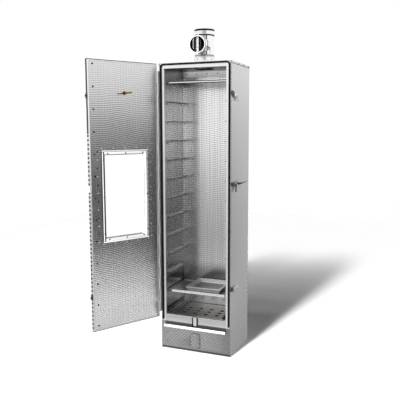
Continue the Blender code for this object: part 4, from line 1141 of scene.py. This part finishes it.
def build_damper():
    low, high = extent("damper_disc", DAMPER)
    radius = (high.x - low.x) / 2
    t = (high.y - low.y) / 2
    bm = bmesh.new()
    face = [(0, t * 0.5), (radius * 0.55, t * 0.5), (radius * 0.6, t * 0.9), (radius * 0.92, t * 0.9)]
    face += [(radius - 0.5 * MM, t * 0.7), (radius, 0)]
    add_turned(bm, mirrored(face), facing((0, (high.y + low.y) / 2, 0), -Y), 64, closed=False)
    finish = steel(
        "damper_steel",
        *("tray_steel", 0.9, 0.3, VERTICAL, 0.1, 0.1),
        metal=0.3,
        dark=lambda n: n.dashes(X, 25 * MM, -0.75),
    )
    piece("damper_plate", bm, finish, "damper", ["damper_disc"], local=DAMPER)
    low, high = extent("damper_axle", DAMPER)
    r = (high.x - low.x) / 2
    bm = bmesh.new()
    end = [(0, 0), (r * 0.7, 0), (r, 1 * MM), (r, 3.4 * MM)]
    end += [(r * 0.86, 3.8 * MM), (r * 0.86, 5 * MM), (r, 5.4 * MM)]
    rod = [(a, high.z - b) for a, b in end] + [(a, low.z + b) for a, b in end[::-1]]
    add_turned(bm, rod, Matrix(), 24, closed=False)
    piece("damper_spindle", bm, BEAD, "damper", ["damper_axle"], local=DAMPER)
    bm = bmesh.new()
    points = [(0, -r + 0.3 * MM, z) for z in (low.z * 0.45, 0, high.z * 0.45)]
    add_heads(bm, points, -Y, 2 * MM, 1.2 * MM)
    piece("damper_screws", bm, SCREW_BRIGHT, "damper", local=DAMPER)


# ---------------------------------------------------------------- door


# Radius of the hole that the thermometer's stem goes through
STEM_BORE = 4.9 * MM
DOOR_LOW, DOOR_HIGH = extent("door_outer_skin", DOOR)
# The door's outer and inner face, in its own frame
DOOR_OUTER, DOOR_INNER = DOOR_LOW.y, extent("door_inner_panel", DOOR)[1].y
FLANGE_SHEET = 1 * MM


def build_door():
    x0, x1, z0, z1 = DOOR_LOW.x, DOOR_HIGH.x, DOOR_LOW.z, DOOR_HIGH.z
    outer, inner = DOOR_OUTER, DOOR_INNER
    t = FLANGE_SHEET
    flange, border = 8 * MM, 30 * MM
    rim = [
        *((flange, inner - t), (flange - 0.2 * MM, inner - 0.2 * MM), (flange - 0.6 * MM, inner)),
        *((2 * MM, inner), (0.6 * MM, inner - 0.6 * MM), (0, inner - 2 * MM), (0, outer + 2.4 * MM)),
        *((0.7 * MM, outer + 0.7 * MM), (2.4 * MM, outer), (border, outer), (border, outer + SHEET)),
        *((3 * MM, outer + SHEET), (SHEET, outer + 3 * MM), (SHEET, inner - 2.4 * MM), (2 * MM, inner - t)),
    ]
    bm = bmesh.new()
    add_ring_frame(bm, (x0, z0), (x1, z1), rim)
    middle = (z0 + z1) / 2

    def rim_shade_lines(n):
        """Painted shade: a dark corner down the free side, in dashes below the top, and a dark line along
        each end.
        """
        length = n.either(n.dashes(Z, 21 * MM, -0.1), n.above(Z, z1 - 350 * MM))
        corner = n.both(n.above(X, x1 - 3 * MM), n.below(Y, outer + 18 * MM), length)
        ends = n.both(n.beyond(Z, middle, z1 - middle - 4 * MM), n.above(Y, inner - 2.2 * MM))
        return n.either(corner, ends)

    finish = steel("door_rim_steel", *FOLDED, dark=rim_shade_lines)
    piece("door_rim", bm, finish, "door", ["door_outer_skin"], local=DOOR, angle=50)
    window_low, window_high = extent("glass_inner", DOOR)
    gap = 0.3 * MM
    opening = [
        *((window_low.x - gap, window_low.z - gap), (window_high.x + gap, window_low.z - gap)),
        *((window_high.x + gap, window_high.z + gap), (window_low.x - gap, window_high.z + gap)),
    ]
    nut_low, nut_high = extent("thermometer_nut", DOOR)
    hole = circle(((nut_low.x + nut_high.x) / 2, (nut_low.z + nut_high.z) / 2), STEM_BORE)
    layers = (
        ("door_skin", border, SHEET, outer + SHEET / 2, SATIN, ()),
        ("door_panel", 1.4 * MM, 0.8 * MM, inner - t - 0.45 * MM, DOOR_PANEL, ["door_inner_panel"]),
    )
    for name, inset, thickness, y, mat, nodes in layers:
        bm = bmesh.new()
        low, high = (x0 + inset, z0 + inset), (x1 - inset, z1 - inset)
        sheet = [low, (high[0], low[1]), high, (low[0], high[1])]
        add_plate(bm, sheet, [opening, hole], thickness, upright(y))
        piece(name, bm, mat, "door", nodes, local=DOOR)
    dress(WOOL, "door_insulation")
    build_door_screws(window_low, window_high)


def build_door_screws(window_low, window_high):
    """Screws down the free side and round the window, dark and bright, and along the free edge."""
    x1, z0, z1 = DOOR_HIGH.x, DOOR_LOW.z, DOOR_HIGH.z
    dark, bright = bmesh.new(), bmesh.new()
    face = DOOR_INNER - FLANGE_SHEET
    free_side = [(x1 - 28 * MM, face, z) for z in spread(z0 + 27 * MM, z1 - 22 * MM, 13)]
    add_heads(dark, free_side, Y, 4.6 * MM, 2.2 * MM)
    ring = 22 * MM
    left, right = window_low.x - ring, window_high.x + ring
    bottom, top = window_low.z - ring, window_high.z + ring
    points = [(x, face, z) for x in spread(left + 18 * MM, right - 18 * MM, 5) for z in (bottom, top)]
    points += [(left, face, z) for z in spread(bottom + 14 * MM, top - 14 * MM, 8)]
    add_heads(bright, points, Y, 3.4 * MM, 1.8 * MM)
    points = [(right + 6 * MM, face, z) for z in spread(bottom + 14 * MM, top - 14 * MM, 12)]
    add_heads(bright, points[::2], Y, 3.6 * MM, 1.8 * MM)
    add_heads(dark, points[1::2], Y, 4 * MM, 1.8 * MM)
    points = [(x1, (DOOR_OUTER + DOOR_INNER) / 2, z) for z in spread(z0 + 30 * MM, z1 - 30 * MM, 14)]
    add_heads(dark, points, X, 2.2 * MM, 1.2 * MM)
    piece("door_screws", dark, SCREW_DARK, "door", local=DOOR)
    piece("door_window_screws", bright, SCREW_BRIGHT, "door", local=DOOR)


BEAD_WIDTH = 15 * MM
BEAD_CROWN = mm(
    *((0, 0), (0, 1.2), (0.8, 2.2), (5.0, 2.4), (6.0, 3.1)),
    *((7.2, 3.2), (12.8, 3.2), (14.2, 2.5), (15, 1.0), (15, 0)),
)
TRIM_CROWN = mm((0, 0.1), (0.3, 1.0), (0.8, 1.3), (6.2, 1.3), (6.9, 0.9), (7.0, 0.1))
LIP_CROWN = mm((14.6, -0.2), (15.2, 1.4), (17.4, 1.2), (17.8, -0.2))


def build_window(name, node, sign):
    """One face's bead round the window, with trims over and under it, screws and a lip seal."""
    low, high = extent(node, DOOR)
    base = low.y if sign > 0 else high.y
    centre, reach = (low + high) / 2, (high - low) / 2
    corners = ((low.x, low.z), (high.x, high.z))

    # Painted shade: the bead is greyer along the hinge side, has grey lines at its ends and dark dashes down
    # the hinge edge. Dark lines also run down the free side.
    def outline(n):
        grey = n.maths("MULTIPLY", n.below(X, low.x + BEAD_WIDTH), 0.6)
        ends = n.maths("MULTIPLY", n.beyond(Z, centre.z, reach.z - 2 * MM), 0.8)
        hinge_edge = n.both(n.below(X, low.x + 4 * MM), n.dashes(Z, 24 * MM, -0.5))
        free_edge = n.above(X, high.x - 3 * MM)
        free_lip = n.both(n.above(X, high.x - BEAD_WIDTH), n.below(X, high.x - 7.6 * MM))
        return n.either(grey, ends, hinge_edge, free_edge, free_lip)

    bm = bmesh.new()
    add_ring_frame(bm, *corners, [(a, base + sign * b) for a, b in BEAD_CROWN])
    finish = steel(f"{name}_steel", *PALE, metal=0.25, dark=outline)
    piece(name, bm, finish, "door", [node], local=DOOR, angle=30)
    bm = bmesh.new()
    for z, way in ((low.z - 7.2 * MM, 1), (high.z + 7.2 * MM, -1)):
        ends = (low.x + 2 * MM, high.x - 3 * MM)
        add_loft(bm, [[(x, base + sign * b, z + way * a) for a, b in TRIM_CROWN] for x in ends])
    # Painted shade: a dark line along the outer edge of each trim
    finish = steel(
        f"{name}_trim_steel",
        *PALE,
        metal=0.25,
        dark=lambda n: n.beyond(Z, centre.z, reach.z + 5.4 * MM),
    )
    piece(f"{name}_trim", bm, finish, "door", local=DOOR, angle=30)
    bm = bmesh.new()
    y, inset = base + sign * 3.2 * MM, 10 * MM
    for z in spread(low.z + 40 * MM, high.z - 40 * MM, 3):
        add_heads(bm, [(low.x + inset, y, z), (high.x - inset, y, z)], sign * Y, 4 * MM, 1.6 * MM)
    for x in spread(low.x + 34 * MM, high.x - 34 * MM, 3):
        add_heads(bm, [(x, y, low.z + inset), (x, y, high.z - inset)], sign * Y, 4 * MM, 1.6 * MM)
    piece(f"{name}_screws", bm, SCREW_DARK, "door", local=DOOR)
    bm = bmesh.new()
    add_ring_frame(bm, *corners, [(a, base + sign * b) for a, b in LIP_CROWN])
    # The seal is near black, except along the hinge side, where it stays pale
    seal = steel(
        f"{name}_seal_rubber",
        *("black_rubber", 0.9, 0.5, VERTICAL, 0.02, 0.02),
        metal=0.0,
        dark=lambda n: n.above(X, low.x + 2 * BEAD_WIDTH),
        left=0.01,
    )
    piece(f"{name}_lip_seal", bm, seal, "door", local=DOOR)
    return seal


def build_windows():
    build_window("window_bead_inner", "window_frame_inner", 1)
    seal = build_window("window_bead_outer", "window_frame_outer", -1)
    dress(GLASS, "glass_inner", "glass_outer", "thermometer_lens", bevel=0.3 * MM)
    dress(seal, "window_seal", bevel=0.4 * MM)


MARKS = 27
MARK_STEP = 10


def build_thermometer():
    """A dial case on the outer face, with its marks. The marks carry no numbers."""
    low, high = extent("thermometer_case", DOOR)
    radius, depth = (high.x - low.x) / 2, high.y - low.y
    place = facing(((low.x + high.x) / 2, high.y, (low.z + high.z) / 2), -Y)
    well = depth - 7 * MM
    bm = bmesh.new()
    profile = [
        *((STEM_BORE, 0), (radius - 4 * MM, 0)),
        *((radius - 3 * MM, 0.6 * MM), (radius - 2.4 * MM, depth - 6 * MM)),
        *((radius - 0.6 * MM, depth - 5 * MM), (radius, depth - 4 * MM), (radius, depth - 1.2 * MM)),
        *((radius - 0.5 * MM, depth - 0.3 * MM), (radius - 1.2 * MM, depth)),
        *((radius - 1.9 * MM, depth - 0.3 * MM), (radius - 2.5 * MM, depth - 1 * MM)),
        *((radius - 2.5 * MM, well), (STEM_BORE, well)),
    ]
    add_turned(bm, profile, place, 80)
    piece("thermometer_housing", bm, POLISHED, "door", ["thermometer_case"], local=DOOR)
    dial = radius - 2.9 * MM
    bm = bmesh.new()
    face = well + 0.35 * MM
    add_turned(bm, [(STEM_BORE, well), (dial, well), (dial, face), (STEM_BORE, face)], place, 64)
    piece("thermometer_dial", bm, DIAL_WHITE, "door", local=DOOR)
    bm = bmesh.new()
    ink_low, ink_high, rim = well + 0.3 * MM, well + 0.5 * MM, dial - 1.5 * MM
    for k in range(MARKS):
        length, width = (6.5 * MM, 0.45 * MM) if k % 2 == 0 else (4 * MM, 0.25 * MM)
        turn = place @ Matrix.Rotation(radians(90 + (MARKS // 2 - k) * MARK_STEP), 4, "Z")
        add_box(bm, (dial - length, -width, ink_low), (rim, width, ink_high), turn)
    ring = [(rim, ink_low), (dial - 1 * MM, ink_low), (dial - 1 * MM, ink_high), (rim, ink_high)]
    add_turned(bm, ring, place, 64)
    piece("thermometer_marks", bm, DIAL_INK, "door", local=DOOR)
    dress(RED, "thermometer_needle", bevel=0.1 * MM)


def build_stem():
    """The thermometer's hex nut on its washer, and its probe, on the inner face."""
    low, high = extent("thermometer_case", DOOR)
    x, z = (low.x + high.x) / 2, (low.z + high.z) / 2
    low, high = extent("thermometer_nut", DOOR)
    height, across = high.y - low.y, (high.z - low.z) / 2
    bm = bmesh.new()
    place = facing((x, low.y, z), Y)
    rim = mm((9.4, 0), (9.4, 0.9), (9, 1.3))
    add_turned(bm, [(STEM_BORE, 0), *rim, (STEM_BORE, rim[-1][1])], place, 40)
    rings = []
    for rise, inset in ((1.3 * MM, 0.6 * MM), (2 * MM, 0), (height - 1.2 * MM, 0), (height, 1.2 * MM)):
        r = across - inset
        rings.append([place @ Vector((r * cos(t), r * sin(t), rise)) for t in around(6)])
    hexagon = bmesh.new()
    add_loft(hexagon, rings)
    bored = combined("DIFFERENCE", hexagon, pipe((x, low.y, z), Y, STEM_BORE, -10 * MM, 30 * MM, 32))
    mesh = bpy.data.meshes.new("nut")
    bored.to_mesh(mesh)
    bored.free()
    bm.from_mesh(mesh)
    bpy.data.meshes.remove(mesh)
    piece("thermometer_hex_nut", bm, BRASS, "door", ["thermometer_nut"], local=DOOR, bevel=0.25 * MM)
    low, high = extent("thermometer_stem", DOOR)
    r, length = (high.x - low.x) / 2, high.y - low.y
    neck = 0.82 * r
    bm = bmesh.new()
    profile = [
        *((0, 0), (r, 0), (r, length - 34 * MM), (neck, length - 33 * MM)),
        *((neck, length - 3 * MM), (r * 0.6, length - 1 * MM), (0, length)),
    ]
    add_turned(bm, profile, facing((x, low.y, z), Y), 32, closed=False)
    piece("thermometer_probe", bm, BRASS_TIP, "door", ["thermometer_stem"], local=DOOR)


# ---------------------------------------------------------------- hinge and latches


def build_hinge():
    dress(BRIGHT, "hinge_leaf_cabinet", "hinge_leaf_door", bevel=0.25 * MM)
    dress(POLISHED, "hinge_pin", bevel=0.2 * MM)
    leaf_face, inset, margin = 2.5 * MM, 7 * MM, 30 * MM
    for body, local, pin in (("cabinet", Matrix(), HINGE.x), ("door", DOOR, 0)):
        low, high = extent(f"hinge_leaf_{body}", local)
        y = high.y - inset if body == "cabinet" else low.y + inset
        bm = bmesh.new()
        points = [(pin + leaf_face, y, z) for z in spread(low.z + margin, high.z - margin, 21)]
        add_heads(bm, points, -X, 2.3 * MM, 0.9 * MM)
        piece(f"hinge_screws_{body}", bm, SCREW_BRIGHT, body, local=local)


def build_latches():
    outward = DOOR.to_3x3() @ X
    strike_end = outward.dot(HINGE) + DOOR_HIGH.x + 12 * MM
    strike = steel(
        "strike_steel",
        *("dark_steel", 0.93, 0.3, (200, 200, 200), 0.06, 0.05),
        metal=0.3,
        dark=lambda n: n.below(outward, strike_end),
        left=0.03,
    )
    dress(strike, "strike_top", "strike_bottom", bevel=0.6 * MM)
    dress(BEAD, "strike_middle", bevel=0.6 * MM)
    bases = [f"latch_base_{place}" for place in ("top", "middle", "bottom")]
    dress(SATIN, *bases, bevel=0.5 * MM)
    # Painted shade: the hooks are near black in front of this plane
    hook_shade_plane = -133 * MM
    hook = steel(
        "latch_hook_steel",
        *("dark_steel", 0.86, 0.25, HOOK_GRAIN, 0.06, 0.05),
        dark=lambda n: n.below(Y, hook_shade_plane),
        left=0.03,
    )
    dress(hook, "latch_hook_top", "latch_hook_bottom", bevel=0.7 * MM, segments=3)
    dress(DARK, "handle_lever", bevel=0.7 * MM, segments=3)
    bm = bmesh.new()
    for node in bases:
        low, high = extent(node)
        middle = (low + high) / 2
        points = [(SIDE + 2.3 * MM, middle.y, middle.z + side * 15.5 * MM) for side in (-1, 1)]
        add_heads(bm, points, X, 2.4 * MM, 1.3 * MM)
    piece("latch_base_screws", bm, SCREW_DARK, "cabinet")
    low, high = extent("handle_grip")
    centre = (low + high) / 2
    lean = (high.z - low.z - 4.5 * MM) / (high.y - low.y)
    across = Vector((0, -lean, 1)).normalized()
    # Painted shade: the upper half of the grip, along its length, is near black
    grip = steel(
        "handle_grip_steel",
        *("bright_steel", 0.9, 0.22, HOOK_GRAIN, 0.05, 0.04),
        dark=lambda n: n.above(across, across.dot(centre)),
        left=0.04,
    )
    dress(grip, "handle_grip", bevel=0.8 * MM, segments=3)
    stud = joint_at("handle_turn")
    bm = bmesh.new()
    ends = (stud + Vector((0, 43, 12)) * MM, stud + Vector((0, 102, -10)) * MM)
    add_tube(bm, [(SIDE + 5 * MM, end.y, end.z) for end in ends], 3 * MM, 16)
    piece("handle_link_bar", bm, BRIGHT, "handle", bevel=0.3 * MM)


def build_hidden():
    dress(SATIN, "base_pan", bevel=0.3 * MM)
    dress(LINER_TOP, "inner_ceiling")
    dress(WOOL, "insulation_left", "insulation_right", "insulation_back", "insulation_top")


DOOR_NODES = (
    *("door_outer_skin", "door_inner_panel", "door_insulation", "window_frame_inner", "window_frame_outer"),
    *("window_seal", "glass_inner", "glass_outer", "thermometer_case", "thermometer_lens"),
    *("thermometer_needle", "thermometer_nut", "thermometer_stem"),
    *("strike_top", "strike_middle", "strike_bottom", "hinge_leaf_door"),
)


# ---------------------------------------------------------------- studio


# Share of the light that the floor sends back
FLOOR_TONE = 0.93


def staged(name, outline, place):
    """A flat stage piece from an outline. It isn't part of the object."""
    mesh = bpy.data.meshes.new(name)
    bm = bmesh.new()
    bm.faces.new([bm.verts.new(place(a, b)) for a, b in outline])
    bm.to_mesh(mesh)
    bm.free()
    obj = bpy.data.objects.new(name, mesh)
    bpy.context.scene.collection.objects.link(obj)
    return obj


def build_stage():
    """The floor, and a card behind the cabinet that only its shadow shows."""
    floor = staged("studio_floor", rectangle(-3.2, -2.6, 3.6, 4.6, 0.3), lambda x, y: (x, y, 0))
    n = Nodes("studio_floor")
    tone = n.total(1.0, (n.noise(3.0), 0.01))
    floor.data.materials.append(n.finish(n.tinted([FLOOR_TONE] * 3, tone), 0.9, 0.0))
    floor.visible_glossy = False
    outline = rectangle(-0.62, 0.34, -SIDE, 1.46, 0.08)
    card = staged("shadow_card", outline, lambda x, z: (x, BACK + 10 * MM, z))
    for ray in ("camera", "diffuse", "glossy", "transmission"):
        setattr(card, f"visible_{ray}", False)


# Brightness of the studio in reflections, by the sine of the elevation
RIGHT = (
    *((-0.6, 0.6), (-0.345, 0.55), (-0.32, 1.3), (-0.285, 1.9), (-0.268, 0.6), (-0.245, 0.12)),
    *((-0.22, 0.12), (-0.17, 0.12), (-0.1, 0.1), (-0.04, 0.11), (0.0, 0.24), (0.03, 0.74)),
    *((0.06, 1.06), (0.096, 1.12), (0.5, 1.0), (1.0, 0.9)),
)
FRONT_LEFT = (
    *((-0.6, 0.9), (-0.36, 0.95), (-0.3, 0.65), (-0.22, 0.46), (-0.15, 0.46), (-0.1, 0.62)),
    *((-0.04, 0.95), (0.0, 1.25), (0.04, 1.2), (0.08, 1.0), (0.5, 1.1), (1.0, 0.95)),
)
FRONT_RIGHT = (
    *((-0.6, 0.4), (-0.3, 0.1), (-0.1, 0.04), (-0.06, 0.08), (-0.035, 0.95), (-0.01, 2.0)),
    *((0.01, 1.8), (0.035, 0.25), (0.06, 0.08), (0.11, 0.1), (0.3, 0.8), (1.0, 0.9)),
)
BEHIND = (
    *((-0.6, 0.34), (-0.36, 0.36), (-0.31, 0.44), (-0.26, 0.55), (-0.2, 0.6), (-0.145, 0.57), (-0.095, 0.7)),
    *((-0.03, 0.74), (0.0, 0.78), (0.05, 0.86), (0.086, 1.06), (0.5, 0.98), (1.0, 0.9)),
)
# Brightness that matt surfaces see all round
AMBIENT = 0.08


class World(Tree):
    def ramp(self, position, stops):
        node = self.add("ShaderNodeValToRGB")
        self.put(node.inputs[0], position)
        elements = node.color_ramp.elements
        while len(elements) < len(stops):
            elements.new(0.5)
        for element, (height, value) in zip(elements, stops):
            element.position = (height + 1) / 2
            element.color = (value, value, value, 1)
        return node.outputs[0]

    def mix(self, share, first, second):
        node = self.add("ShaderNodeMix", data_type="RGBA")
        self.put(node.inputs["Factor"], share)
        self.put(node.inputs["A"], first)
        self.put(node.inputs["B"], second)
        return node.outputs["Result"]


def build_world():
    """White to the camera and dim to matt surfaces. Reflections see the ramps, mixed by direction."""
    world = bpy.data.worlds.new("studio")
    world.use_nodes = True
    world.cycles.sampling_method = "NONE"
    bpy.context.scene.world = world
    w = World(world.node_tree)
    split = w.add("ShaderNodeSeparateXYZ")
    w.put(split.inputs[0], w.add("ShaderNodeTexCoord").outputs["Generated"])
    x, y, z = split.outputs
    z = w.maths("MULTIPLY_ADD", z, 0.5, 0.5)
    to_front_right = w.maths("MULTIPLY_ADD", x, 1.3, 0.5, clamp=True)
    to_back = w.maths("MULTIPLY_ADD", y, 1.5, 0.5, clamp=True)
    to_right = w.maths("MULTIPLY", w.maths("MAXIMUM", x, 0.0), 1.25, clamp=True)
    ahead = w.mix(to_front_right, w.ramp(z, FRONT_LEFT), w.ramp(z, FRONT_RIGHT))
    level = w.mix(to_back, ahead, w.ramp(z, BEHIND))
    studio = w.mix(w.maths("POWER", to_right, 3.0), level, w.ramp(z, RIGHT))
    path = w.add("ShaderNodeLightPath")
    lit = w.mix(path.outputs["Is Diffuse Ray"], studio, (AMBIENT, AMBIENT, AMBIENT, 1))
    colour = w.mix(path.outputs["Is Camera Ray"], lit, (1, 1, 1, 1))
    w.put(w.tree.nodes["Background"].inputs["Color"], colour)


# For each lamp of the key light: how far back the shadow of the top reaches, and its share of the light
KEY_LAMPS = (
    *((0.45, 0.07), (0.75, 0.07), (1.05, 0.08), (1.35, 0.10)),
    *((1.60, 0.13), (1.85, 0.19), (2.10, 0.17), (2.32, 0.11)),
)
KEY_SIDEWAYS = 0.16


def lamp(name, kind, energy, direction):
    data = bpy.data.lights.new(name, kind)
    data.energy = energy
    obj = bpy.data.objects.new(name, data)
    obj.visible_glossy = False
    obj.visible_camera = False
    obj.rotation_euler = Vector(direction).to_track_quat("-Z", "Y").to_euler()
    bpy.context.scene.collection.objects.link(obj)
    return obj


def build_light():
    """A tall key light in front, as lamps one over another, and a low fill."""
    for number, (reach, share) in enumerate(KEY_LAMPS):
        direction = Vector((KEY_SIDEWAYS, 1.0, -CASING_HIGH.z / reach))
        energy = share * pi / FLOOR_TONE / -direction.normalized().z
        lamp(f"key_{number}", "SUN", energy, direction).data.angle = radians(5)
    fill = lamp("low_fill", "AREA", 36.0, (0.1, 1.0, 0.16))
    fill.data.size = 0.5
    fill.location = (-0.25, -2.4, 1.05)


def build_camera():
    data = bpy.data.cameras.new("camera")
    data.lens = 50.58
    data.sensor_width = 36
    camera = bpy.data.objects.new("camera", data)
    camera.location = (1.0868, -2.7782, 1.1781)
    camera.rotation_euler = (radians(82.63), radians(0.15), radians(21.9))
    bpy.context.scene.collection.objects.link(camera)
    bpy.context.scene.camera = camera


build_casing()
build_cover()
build_back_seam()
build_liner()
build_front()
build_gasket()
build_lower_front()
build_gutter()
build_spout()
build_header()
build_rails()
build_tray()
build_pan()
build_baffle()
build_floor()
build_collar()
build_tee()
build_socket()
build_damper()
build_door()
build_windows()
build_thermometer()
build_stem()
build_hinge()
build_latches()
build_hidden()
for node in DOOR_NODES:
    NODES[node].visible_shadow = False
build_stage()
build_world()
build_light()
build_camera()
bpy.context.scene.view_settings.view_transform = "Standard"
